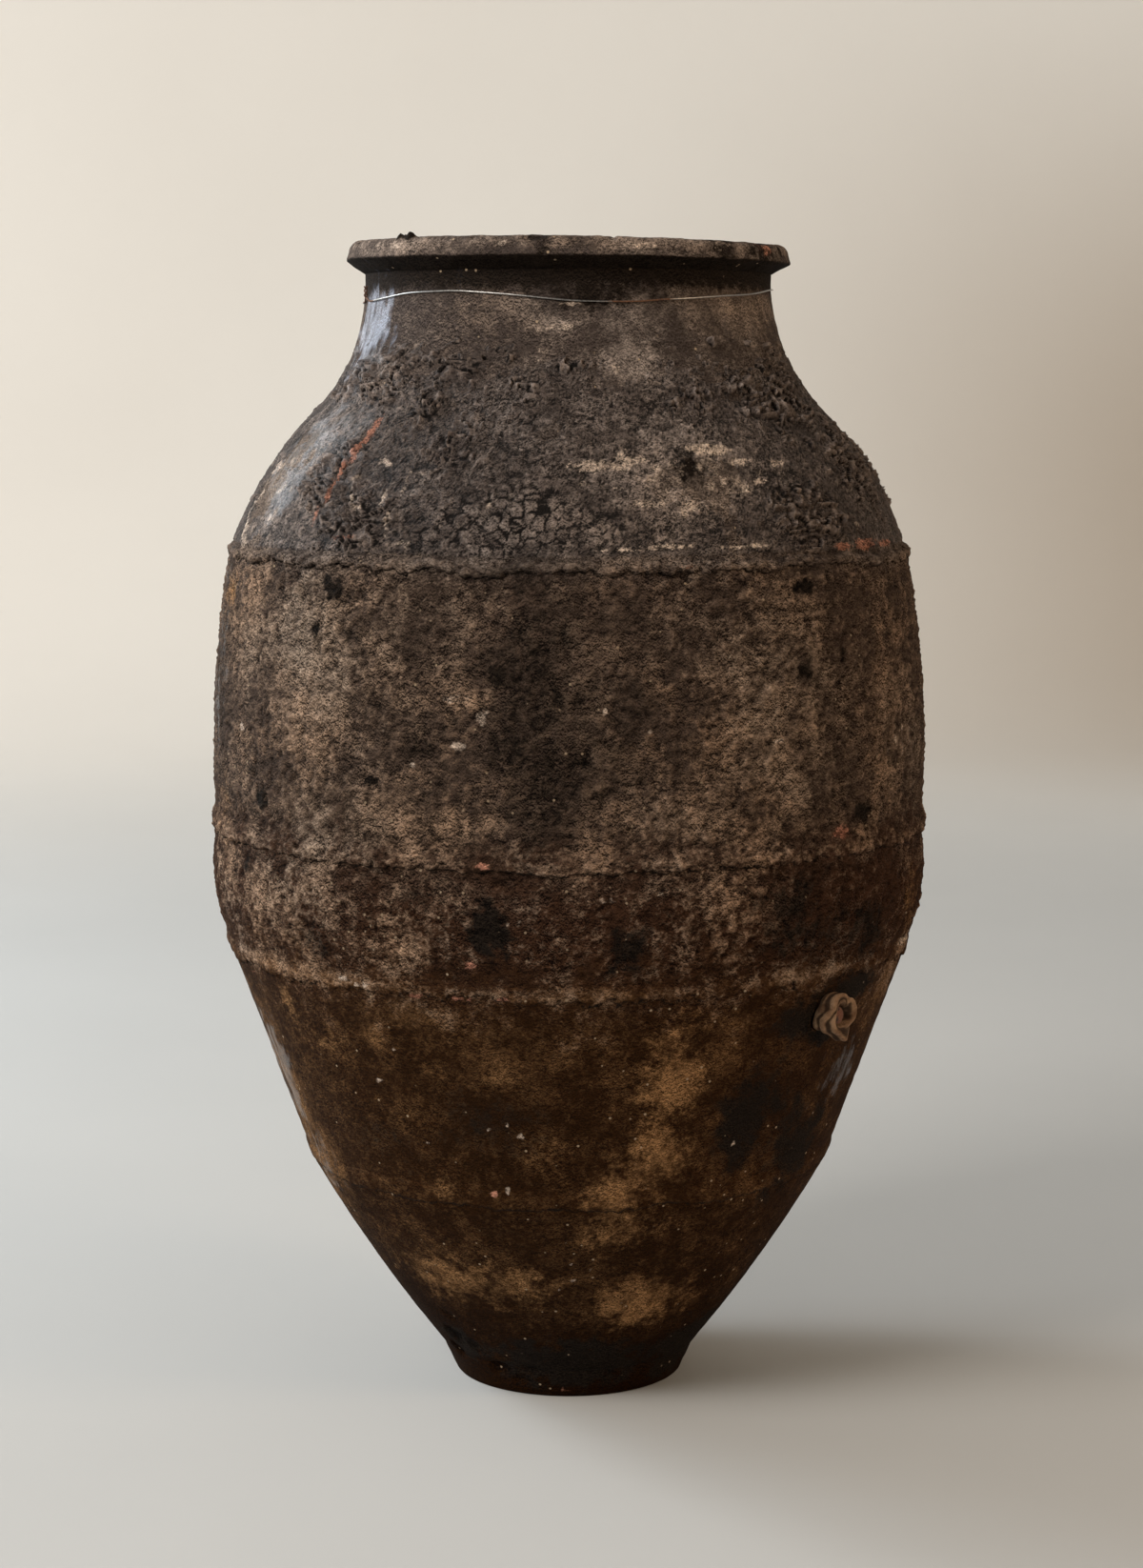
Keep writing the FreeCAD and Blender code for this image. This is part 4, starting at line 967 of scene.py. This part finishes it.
class Paint:
    """A material's node tree, with short calls for the nodes that the jar's materials use."""

    def __init__(self, name):
        self.material = bpy.data.materials.new(name)
        self.material.use_nodes = True
        self.tree = self.material.node_tree
        self.shader = self.tree.nodes["Principled BSDF"]
        self.where = self.add("ShaderNodeTexCoord").outputs["Object"]

    def add(self, kind, **settings):
        node = self.tree.nodes.new(kind)
        for name, value in settings.items():
            setattr(node, name, value)
        return node

    def feed(self, socket, value):
        if isinstance(value, bpy.types.NodeSocket):
            self.tree.links.new(value, socket)
        else:
            socket.default_value = value

    def mask(self, name):
        return self.add("ShaderNodeAttribute", attribute_name=name).outputs["Fac"]

    def position(self):
        node = self.add("ShaderNodeSeparateXYZ")
        self.feed(node.inputs["Vector"], self.where)
        return tuple(node.outputs)

    def stretched(self, scale, shift=(0, 0, 0)):
        node = self.add("ShaderNodeMapping")
        self.feed(node.inputs["Vector"], self.where)
        node.inputs["Location"].default_value = shift
        node.inputs["Scale"].default_value = scale
        return node.outputs["Vector"]

    def noise(self, scale, detail=3.0, roughness=0.6, where=None, distortion=0.0):
        node = self.add("ShaderNodeTexNoise")
        self.feed(node.inputs["Vector"], where or self.where)
        node.inputs["Scale"].default_value = scale
        node.inputs["Detail"].default_value = detail
        node.inputs["Roughness"].default_value = roughness
        node.inputs["Distortion"].default_value = distortion
        return node.outputs["Fac"]

    def math(self, operation, first, second=0.0, third=0.0, clamp=False):
        node = self.add("ShaderNodeMath", operation=operation, use_clamp=clamp)
        for socket, value in zip(node.inputs, (first, second, third)):
            self.feed(socket, value)
        return node.outputs[0]

    def times(self, first, second):
        return self.math("MULTIPLY", first, second)

    def total(self, *terms):
        """Sum of terms, each a value or a value and its weight."""
        result = None
        for term in terms:
            value, weight = term if isinstance(term, tuple) else (term, 1.0)
            part = self.times(value, weight) if weight != 1.0 else value
            result = part if result is None else self.math("ADD", result, part)
        return result

    def step(self, value, low, high, start=0.0, end=1.0):
        node = self.add("ShaderNodeMapRange", interpolation_type="SMOOTHSTEP")
        names = ("Value", "From Min", "From Max", "To Min", "To Max")
        for name, number in zip(names, (value, low, high, start, end)):
            self.feed(node.inputs[name], number)
        return node.outputs["Result"]

    def between(self, share, start, end):
        """Value that eases from start to end as a share goes from 0 to 1."""
        return self.step(share, 0.0, 1.0, start, end)

    def even(self, *args, **kwargs):
        """Noise spread out to fill 0 to 1."""
        return self.step(self.noise(*args, **kwargs), 0.3, 0.7)

    def cover(self, share, speck, soft=0.5):
        """Patchy cover: some of the specks where the share is low, none at 0 and all at 1."""
        return self.step(self.total((share, 1.0 + soft), speck), 1.0, 1.0 + soft)

    def mix(self, share, first, second, blend="MIX"):
        node = self.add("ShaderNodeMix", data_type="RGBA", blend_type=blend)
        self.feed(node.inputs["Factor"], share)
        for name, value in (("A", first), ("B", second)):
            socket = [item for item in node.inputs if item.name == name and item.type == "RGBA"][0]
            self.feed(socket, value if isinstance(value, bpy.types.NodeSocket) else (*value, 1.0))
        return [item for item in node.outputs if item.type == "RGBA"][0]

    def flecks(self, scale, size, share):
        """Scattered small flecks, with that share of a grid's cells holding one."""
        node = self.add("ShaderNodeTexVoronoi", feature="F1")
        self.feed(node.inputs["Vector"], self.where)
        node.inputs["Scale"].default_value = scale
        spot = self.step(node.outputs["Distance"], size, size * 0.6)
        split = self.add("ShaderNodeSeparateColor")
        self.feed(split.inputs["Color"], node.outputs["Color"])
        return self.times(spot, self.math("LESS_THAN", split.outputs[0], share))

    def bump(self, height, distance, strength=1.0):
        node = self.add("ShaderNodeBump")
        self.feed(node.inputs["Strength"], strength)
        node.inputs["Distance"].default_value = distance
        self.feed(node.inputs["Height"], height)
        return node.outputs["Normal"]

    def finish(self, **sockets):
        for name, value in sockets.items():
            self.feed(self.shader.inputs[name.replace("_", " ")], value)
        return self.material


# Colours, or a dark and a pale colour where a noise mixes the two
# Black of soot, also used as painted shade under the rim, on its underside and under the bands
SOOT_AND_SHADE_BLACK = (0.012, 0.0085, 0.0062)
BARE_CLAY = ((0.15, 0.06, 0.038), (0.36, 0.17, 0.115))
LIME_PALE = ((0.2, 0.152, 0.118), (0.47, 0.37, 0.295))
SOOTY_GROUND = (0.054, 0.036, 0.0265)
OILY_GROUND = (0.038, 0.0178, 0.0098)
SMOKED_GROUND = (0.045, 0.034, 0.029)
PALE_DUST = ((0.28, 0.178, 0.115), (0.25, 0.188, 0.142))
SMOKED_DUST = ((0.2, 0.145, 0.108), (0.215, 0.175, 0.15))
OILED_CLAY = ((0.021, 0.0084, 0.0026), (0.155, 0.081, 0.035))
OILED_FOOT = (0.0125, 0.0042, 0.0006)
OCHRE = ((0.135, 0.068, 0.027), (0.285, 0.155, 0.07))
# Painted sheen, bluish
CLAY_PAINTED_SHEEN = (0.16, 0.185, 0.26)
SAND_FLECK = (0.36, 0.27, 0.185)
SAND_CRUMB = (0.34, 0.25, 0.165)
OLD_PITCH = (0.052, 0.0395, 0.034)
PITCH_DUST = ((0.3, 0.222, 0.172), (0.31, 0.256, 0.226))
# Painted sheen on wet pitch
PITCH_PAINTED_SHEEN = (0.2, 0.208, 0.235)
# Black of the cracks, also used as painted shadow under the flakes' edges
PITCH_CRACK_AND_SHADOW = (0.007, 0.005, 0.004)
LINING = ((0.012, 0.008, 0.006), (0.038, 0.026, 0.019))
STEEL = ((0.2, 0.19, 0.18), (0.5, 0.48, 0.46))
RUST = ((0.05, 0.02, 0.01), (0.16, 0.07, 0.03))
SACKCLOTH = ((0.2, 0.105, 0.055), (0.55, 0.35, 0.205))
CLOTH_HOLLOW = ((0.06, 0.03, 0.017), (0.25, 0.145, 0.085))
# Painted shade in the folds
CLOTH_FOLD_SHADE = (0.016, 0.007, 0.004)
# Painted shade on the turns inside the hole
CLOTH_HOLE_SHADE = (0.012, 0.006, 0.004)
WOOD = ((0.065, 0.021, 0.0105), (0.2, 0.075, 0.036))
WOOD_DIRT = (0.025, 0.012, 0.007)
FLOOR_PAPER = ((0.415, 0.415, 0.405), (0.45, 0.45, 0.44))
WALL_PAPER = ((0.78, 0.745, 0.69), (0.82, 0.785, 0.73))
SHADED_PAPER = (0.38, 0.305, 0.23)
DARK_PAPER = (0.36, 0.34, 0.31)
# Heights in metres between which the look of the clay changes: where the sooted part begins, its grit ends,
# the black foot ends, the painted sheen high on the clay begins, the ground turns oily and the smoke under
# the neck begins
SOOTED_FROM = (0.315, 0.385)
GRIT_ENDS = (0.72, 0.66)
FOOT_ENDS = (0.16, 0.06)
PAINTED_SHEEN_FROM = (0.66, 0.72)
OILY_BELOW = (0.46, 0.38)
SMOKED_FROM = (0.575, 0.6)
THREAD_SPACING = 1.1 * MM
# Middle of the peg's growth rings, off its axis, and how close they lie
WOOD_HEART = (0.0021, 0.0014)
WOOD_RINGS = 260


class Grain:
    """Noises that the jar's surfaces share: grain of a few millimetres, patches and runs."""

    def __init__(self, paint):
        self.crumb = paint.noise(500, 4, 0.62, paint.stretched((1, 1, 1.1)), 0.9)
        # Painted light from above: each grain paler on its upper side and darker beneath
        above = paint.noise(500, 4, 0.62, paint.stretched((1, 1, 1.1), (0, 0, 0.9 * MM)), 0.9)
        self.top = paint.step(paint.total(self.crumb, (above, -1.0)), -0.17, 0.17)
        self.grit = paint.noise(1000, 2, 0.6)
        # Specks that follow the bump's height: grain tone, and painted shade in the bump's hollows
        self.speck = paint.step(paint.total((self.crumb, 0.5), (self.grit, 0.5)), 0.36, 0.64)
        self.patch = paint.even(30, 6, 0.66)
        self.small = paint.even(95, 5, 0.66)
        self.dither = paint.total((self.small, 0.45), (paint.even(300, 4, 0.66), 0.55))
        self.broad = paint.even(8, 3, 0.55)
        self.drip = paint.even(26, 4, 0.62, paint.stretched((1, 1, 0.14)))
        self.rise = paint.mask("rise")
        self.relief = paint.total(self.crumb, (self.grit, 0.5))

    def paint_relief_light(self, paint, colour, least, most, crests):
        """Colour with its grain and painted light: painted shade in the hollows, a painted highlight on the
        crests and on the upper side of each grain, and rougher in some patches.
        """
        rough = paint.step(self.patch, 0.1, 0.9, 0.45, 1.0)
        grain = paint.total((self.speck, 0.4), (self.top, 0.55), -0.45)
        grain = paint.total(paint.times(grain, rough), (self.rise, crests), 0.45)
        return paint.mix(1.0, colour, paint.step(grain, 0.07, 0.87, least, most), "MULTIPLY")


def add_stains(paint, grain, colour):
    """Soot and painted shade, bare clay and lime, as their masks say."""
    # Soot, and painted shade where the soot mask carries it
    colour = paint.mix(paint.cover(paint.mask("soot_and_shade"), grain.dither, 0.9), colour, SOOT_AND_SHADE_BLACK)
    chipped = paint.cover(paint.mask("terra"), grain.small, 0.7)
    colour = paint.mix(chipped, colour, paint.mix(grain.small, *BARE_CLAY))
    limed = paint.times(paint.mask("lime"), 0.85)
    return paint.mix(paint.cover(limed, grain.small, 0.8), colour, paint.mix(grain.small, *LIME_PALE))


def clay_material():
    """Fired clay under years of dust, soot, oil and lime, with painted shade in its hollows, painted light on
    its crests and a painted sheen high up.
    """
    paint = Paint("worn_clay")
    grain = Grain(paint)
    height = paint.position()[2]
    upper = paint.step(paint.total(height, (grain.patch, 0.03), (grain.small, 0.03)), *SOOTED_FROM)
    gritty = paint.times(upper, paint.step(height, *GRIT_ENDS))
    lowest = paint.step(paint.total(height, (grain.broad, 0.06)), *FOOT_ENDS)
    upper_painted_sheen = paint.step(height, *PAINTED_SHEEN_FROM, 0.0, 0.6)

    tone = paint.total(
        (paint.mask("dust_and_highlight"), 0.55), (grain.drip, 0.14), (grain.patch, 0.28),
        (grain.dither, 0.55), (grain.rise, 0.12), -0.31,
    )
    below = paint.step(paint.total(height, (grain.patch, 0.04)), *OILY_BELOW)
    share = paint.step(tone, paint.between(below, 0.04, 0.18), paint.between(below, 0.9, 0.76))
    ground = paint.mix(below, SOOTY_GROUND, OILY_GROUND)
    smoked = paint.step(height, *SMOKED_FROM)
    pale = paint.mix(grain.broad, *PALE_DUST)
    pale = paint.mix(smoked, pale, paint.mix(grain.broad, *SMOKED_DUST))
    sooted = paint.mix(share, paint.mix(smoked, ground, SMOKED_GROUND), pale)
    oiled = paint.mix(paint.step(tone, 0.0, 1.0), *OILED_CLAY)
    oiled = paint.mix(lowest, oiled, OILED_FOOT)
    colour = paint.mix(upper, oiled, sooted)
    patchy = paint.total(0.3, (grain.patch, 0.5), (grain.drip, 0.35))
    tanned = paint.times(paint.mask("tan"), patchy)
    ochre = paint.mix(grain.dither, *OCHRE)
    colour = paint.mix(paint.cover(tanned, grain.dither, 2.2), colour, ochre)
    colour = add_stains(paint, grain, colour)
    streak = paint.even(120, 4, 0.62, paint.stretched((1, 1, 0.16)))
    wet_and_sheen = paint.total((paint.mask("wet_and_sheen"), 0.9), (grain.drip, 0.3), (streak, 0.5), (grain.speck, -0.2), -0.5)
    shine = paint.step(wet_and_sheen, 0.1, 0.8)
    # Painted sheen on the wet patches high on the clay
    colour = paint.mix(paint.times(shine, upper_painted_sheen), colour, CLAY_PAINTED_SHEEN)
    # Painted shade in the hollows and painted light on the crests and grains, strongest where the clay is
    # gritty
    least, most = paint.between(gritty, 0.26, 0.13), paint.between(gritty, 1.8, 2.15)
    colour = grain.paint_relief_light(paint, colour, least, most, 0.22)
    colour = paint.mix(paint.flecks(62, 0.07, 0.35), colour, SAND_FLECK)
    crumbs = paint.times(paint.flecks(150, 0.17, 0.2), paint.step(grain.patch, 0.35, 0.65))
    colour = paint.mix(crumbs, colour, SAND_CRUMB)

    return paint.finish(
        Base_Color=colour,
        Roughness=paint.between(shine, 0.85, 0.34),
        Specular_IOR_Level=paint.between(shine, 0.04, 0.4),
        Normal=paint.bump(grain.relief, 3.2 * MM, paint.between(gritty, 0.35, 1.0)),
    )


def pitch_material():
    """Old pitch: black in its cracks, with painted shadow under its flakes and painted highlights on their
    edges and crests, brown-grey and dusty on top, with a painted sheen where wet, and soot, lime and bare
    clay showing.
    """
    paint = Paint("cracked_pitch")
    grain = Grain(paint)
    tone = paint.total(
        (paint.mask("dust_and_highlight"), 0.5), (grain.patch, 0.16), (grain.dither, 0.5),
        (grain.broad, 0.1), (grain.rise, 0.16), -0.28,
    )
    pale = paint.mix(grain.broad, *PITCH_DUST)
    colour = paint.mix(paint.step(tone, 0.0, 1.0), OLD_PITCH, pale)
    colour = add_stains(paint, grain, colour)
    shine = paint.step(paint.total((paint.mask("wet_and_sheen"), 0.9), (grain.speck, -0.2)), 0.1, 0.8)
    # Painted sheen where the pitch is wet
    colour = paint.mix(paint.times(shine, 0.32), colour, PITCH_PAINTED_SHEEN)
    # Painted shade in the hollows and painted light on the crests
    colour = grain.paint_relief_light(paint, colour, 0.14, 2.0, 0.42)
    # Black in the cracks, and painted shadow at the flakes' feet
    colour = paint.mix(paint.step(grain.rise, -0.4, -1.6), colour, PITCH_CRACK_AND_SHADOW)
    return paint.finish(
        Base_Color=colour,
        Roughness=paint.between(shine, 0.7, 0.36),
        Specular_IOR_Level=paint.between(shine, 0.13, 0.6),
        Normal=paint.bump(grain.relief, 3.0 * MM, 1.0),
    )


def lining_material():
    """Pitch inside the jar: black-brown, brushed on and run."""
    paint = Paint("brushed_pitch")
    run = paint.even(30, 4, 0.6, paint.stretched((1, 1, 0.12)))
    fine = paint.even(160, 4, 0.6)
    colour = paint.mix(run, *LINING)
    rough = paint.step(run, 0.2, 0.9, 0.42, 0.72)
    relief = paint.total(run, (fine, 0.4))
    return paint.finish(Base_Color=colour, Roughness=rough, Normal=paint.bump(relief, 1.2 * MM, 0.8))


def wire_material():
    """Steel wire, drawn bright, with brown rust in places."""
    paint = Paint("binding_wire")
    fine = paint.even(900, 3, 0.6)
    rust = paint.cover(paint.mask("rust"), fine, 0.4)
    steel = paint.mix(fine, *STEEL)
    brown = paint.mix(fine, *RUST)
    metal = paint.math("SUBTRACT", 1.0, rust)
    rough = paint.between(rust, 0.34, 0.85)
    colour = paint.mix(rust, steel, brown)
    worn = paint.bump(fine, 0.05 * MM, 0.5)
    return paint.finish(Base_Color=colour, Metallic=metal, Roughness=rough, Normal=worn)


def cloth_material():
    """Coarse sackcloth, plain woven, brown with oil and dirt, with painted shade in its folds and on the
    turns inside the hole.
    """
    paint = Paint("oily_sackcloth")
    weft = paint.mask("weft")
    warp = paint.mask("warp")
    thread = 2 * math.pi / THREAD_SPACING
    over = paint.math("SINE", paint.times(weft, thread))
    under = paint.math("SINE", paint.times(warp, thread))
    weave = paint.math("ABSOLUTE", paint.math("ADD", over, under))
    slub = paint.even(500, 4, 0.7)
    dirt = paint.even(120, 4, 0.65)
    colour = paint.mix(dirt, *SACKCLOTH)
    hollow = paint.mix(slub, *CLOTH_HOLLOW)
    colour = paint.mix(paint.step(weave, 0.9, 0.1), colour, hollow)
    # Painted shade in the hollows of the folds
    colour = paint.mix(paint.step(paint.mask("fold"), 0.3, -1.0, 0.0, 0.85), colour, CLOTH_FOLD_SHADE)
    # Painted shade on the turns inside the hole
    colour = paint.mix(paint.step(paint.mask("outside"), 1.0, 0.0), colour, CLOTH_HOLE_SHADE)
    relief = paint.total((weave, 0.6), (slub, 0.7))
    return paint.finish(
        Base_Color=colour, Roughness=0.93, Specular_IOR_Level=0.15, Normal=paint.bump(relief, 0.35 * MM, 0.9)
    )


def wood_material():
    """Reddish wood, grey with dirt, with growth rings on its end."""
    paint = Paint("whittled_wood")
    heart = paint.stretched((0.05, 1, 1), (0, WOOD_HEART[0], -TAP_HEIGHT + WOOD_HEART[1]))
    rings = paint.add("ShaderNodeTexWave", wave_type="RINGS", rings_direction="X", wave_profile="SIN")
    paint.feed(rings.inputs["Vector"], heart)
    rings.inputs["Scale"].default_value = WOOD_RINGS
    rings.inputs["Distortion"].default_value = 1.6
    rings.inputs["Detail"].default_value = 2
    fibre = paint.even(900, 3, 0.6, paint.stretched((0.06, 1, 1)))
    dirt = paint.even(260, 4, 0.6)
    colour = paint.mix(rings.outputs["Fac"], *WOOD)
    colour = paint.mix(paint.step(dirt, 0.55, 0.95), colour, WOOD_DIRT)
    relief = paint.total((rings.outputs["Fac"], 0.6), (fibre, 0.7))
    return paint.finish(Base_Color=colour, Roughness=0.8, Normal=paint.bump(relief, 0.25 * MM, 0.8))


# Camera, light and backdrop

CAMERA_DISTANCE = 2.2
CAMERA_HEIGHT = 0.709
CAMERA_AZIMUTH = 42.5
CAMERA_PITCH = 7.407
CAMERA_YAW = -0.052
IMAGE_HEIGHT = 1646
FOCAL_PIXELS = 3280
SENSOR_WIDTH = 36
CLIP_NEAR, CLIP_FAR = 0.05, 60


def place_camera():
    """Camera at the photograph's place, worked out from the jar's outline in it."""
    data = bpy.data.cameras.new("camera")
    data.sensor_width = SENSOR_WIDTH
    data.lens = SENSOR_WIDTH * FOCAL_PIXELS / IMAGE_HEIGHT
    data.dof.use_dof = False
    data.clip_start = CLIP_NEAR
    data.clip_end = CLIP_FAR
    camera = bpy.data.objects.new("camera", data)
    camera.location = round_jar(0, CAMERA_DISTANCE, CAMERA_HEIGHT)
    camera.rotation_euler = (math.radians(90 - CAMERA_PITCH), 0, math.radians(CAMERA_AZIMUTH + CAMERA_YAW))
    bpy.context.scene.collection.objects.link(camera)
    bpy.context.scene.camera = camera


def round_jar(bearing, distance, height):
    """Place round the jar, by degrees to the right of the camera."""
    azimuth = math.radians(CAMERA_AZIMUTH + bearing)
    return Vector((distance * math.sin(azimuth), -distance * math.cos(azimuth), height))


def add_light(name, bearing, distance, height, size, power, colour, aim=0.45, beyond=0.0):
    """Soft light that faces the jar, or a place beyond it as the camera sees it."""
    data = bpy.data.lights.new(name, "AREA")
    data.shape = "RECTANGLE"
    data.size, data.size_y = size
    data.energy = power
    data.color = colour
    light = bpy.data.objects.new(name, data)
    light.location = round_jar(bearing, distance, height)
    facing = round_jar(180, beyond, aim) - light.location
    light.rotation_euler = facing.to_track_quat("-Z", "Y").to_euler()
    light.visible_camera = False
    bpy.context.scene.collection.objects.link(light)


# Lights: bearing, distance, height, size, power and colour, and where one faces a place beyond the jar, that
# place's height and distance
LIGHTS = {
    "window": (-115, 2.7, 1.5, (1.3, 1.9), 66, (0.78, 0.9, 1.0)),
    "room": (-48, 2.6, 2.3, (1.4, 1.4), 94, (1.0, 0.95, 0.89)),
    "wash": (-122, 4.4, 3.0, (1.5, 1.5), 138, (0.97, 0.99, 1.0), 2.4, 4.8),
    "lamp": (66, 2.8, 1.3, (0.9, 0.9), 26, (1.0, 0.72, 0.46)),
}
WORLD_COLOUR = (1.0, 0.94, 0.86, 1)
WORLD_STRENGTH = 0.3


def light_scene():
    """Daylight from the left, soft room light, a wash on the backdrop and a warm lamp at the right."""
    world = bpy.data.worlds.new("studio")
    world.use_nodes = True
    background = world.node_tree.nodes["Background"]
    background.inputs["Color"].default_value = WORLD_COLOUR
    background.inputs["Strength"].default_value = WORLD_STRENGTH
    bpy.context.scene.world = world
    for name, light in LIGHTS.items():
        add_light(name, *light)
    bpy.context.scene.view_settings.view_transform = "Standard"


FLOOR_RADIUS = 3.7
SWEEP_RADIUS = 1.9
WALL_HEIGHT = 7.0
BACKDROP_SEGMENTS = 96
# Where the paper changes, in metres: pale with distance, shaded at the right, below and beyond, dark in front
PALE_BEYOND = (1.7, 5.0)
SHADED_RIGHT = (-0.4, 2.0)
SHADED_BELOW = (2.0, 0.4)
SHADED_BEYOND = (2.6, 4.4)
DARK_IN_FRONT = (1.8, 3.2)


def make_backdrop():
    """Grey floor that sweeps up into a wall, pale behind the jar and dark behind the camera."""
    line = [(radius, 0.0) for radius in np.linspace(0.02, FLOOR_RADIUS, 24)]
    for turn in np.linspace(0, math.pi / 2, 17)[1:]:
        line.append((FLOOR_RADIUS + SWEEP_RADIUS * math.sin(turn), SWEEP_RADIUS * (1 - math.cos(turn))))
    line.append((FLOOR_RADIUS + SWEEP_RADIUS, WALL_HEIGHT))
    skin = Skin(np.array(line), np.zeros((len(line), 2)), BACKDROP_SEGMENTS)
    faces = grid_faces(skin.rows, BACKDROP_SEGMENTS, False)
    faces.append(list(range(BACKDROP_SEGMENTS))[::-1])
    mesh = bpy.data.meshes.new("backdrop")
    mesh.from_pydata(skin.points.tolist(), [], faces)
    mesh.polygons.foreach_set("use_smooth", np.ones(len(mesh.polygons), bool))
    paint = Paint("backdrop_paper")
    sine, cosine = math.sin(math.radians(CAMERA_AZIMUTH)), math.cos(math.radians(CAMERA_AZIMUTH))
    mottle = paint.noise(2.2, 3, 0.5)
    fleck = paint.noise(240, 3, 0.6)
    x, y, z = paint.position()
    away = paint.add("ShaderNodeVectorMath", operation="LENGTH")
    paint.feed(away.inputs[0], paint.where)
    far = paint.step(away.outputs["Value"], *PALE_BEYOND)
    floor = paint.mix(mottle, *FLOOR_PAPER)
    wall = paint.mix(mottle, *WALL_PAPER)
    paper = paint.mix(far, floor, wall)
    aside = paint.total((x, cosine), (y, sine))
    shaded = paint.times(paint.step(aside, *SHADED_RIGHT), paint.step(z, *SHADED_BELOW))
    shaded = paint.times(shaded, paint.step(away.outputs["Value"], *SHADED_BEYOND))
    paper = paint.mix(shaded, paper, SHADED_PAPER)
    nearer = paint.total((x, sine), (y, -cosine))
    paper = paint.mix(paint.step(nearer, *DARK_IN_FRONT), paper, DARK_PAPER)
    material = paint.finish(Base_Color=paper, Roughness=0.9, Normal=paint.bump(fleck, 0.2 * MM, 0.3))
    mesh.materials.append(material)
    backdrop = bpy.data.objects.new("backdrop", mesh)
    bpy.context.scene.collection.objects.link(backdrop)


CLAY = clay_material()
for node in ("lower_section", "belly_section", "upper_belly_section", "shoulder_section"):
    make_wall(node, CLAY)
make_wall("neck_section", CLAY, 0)
cut_tap_hole(make_wall("lower_belly_section", CLAY), TAP_HEIGHT)
for node in BANDS:
    make_band(node, CLAY)
make_rim(CLAY)
make_base(CLAY)
make_coat(pitch_material())
make_wire(wire_material())
make_peg(wood_material())
make_rag(cloth_material())
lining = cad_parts["pitch_lining"].data
lining.materials.clear()
lining.materials.append(lining_material())

place_camera()
light_scene()
make_backdrop()
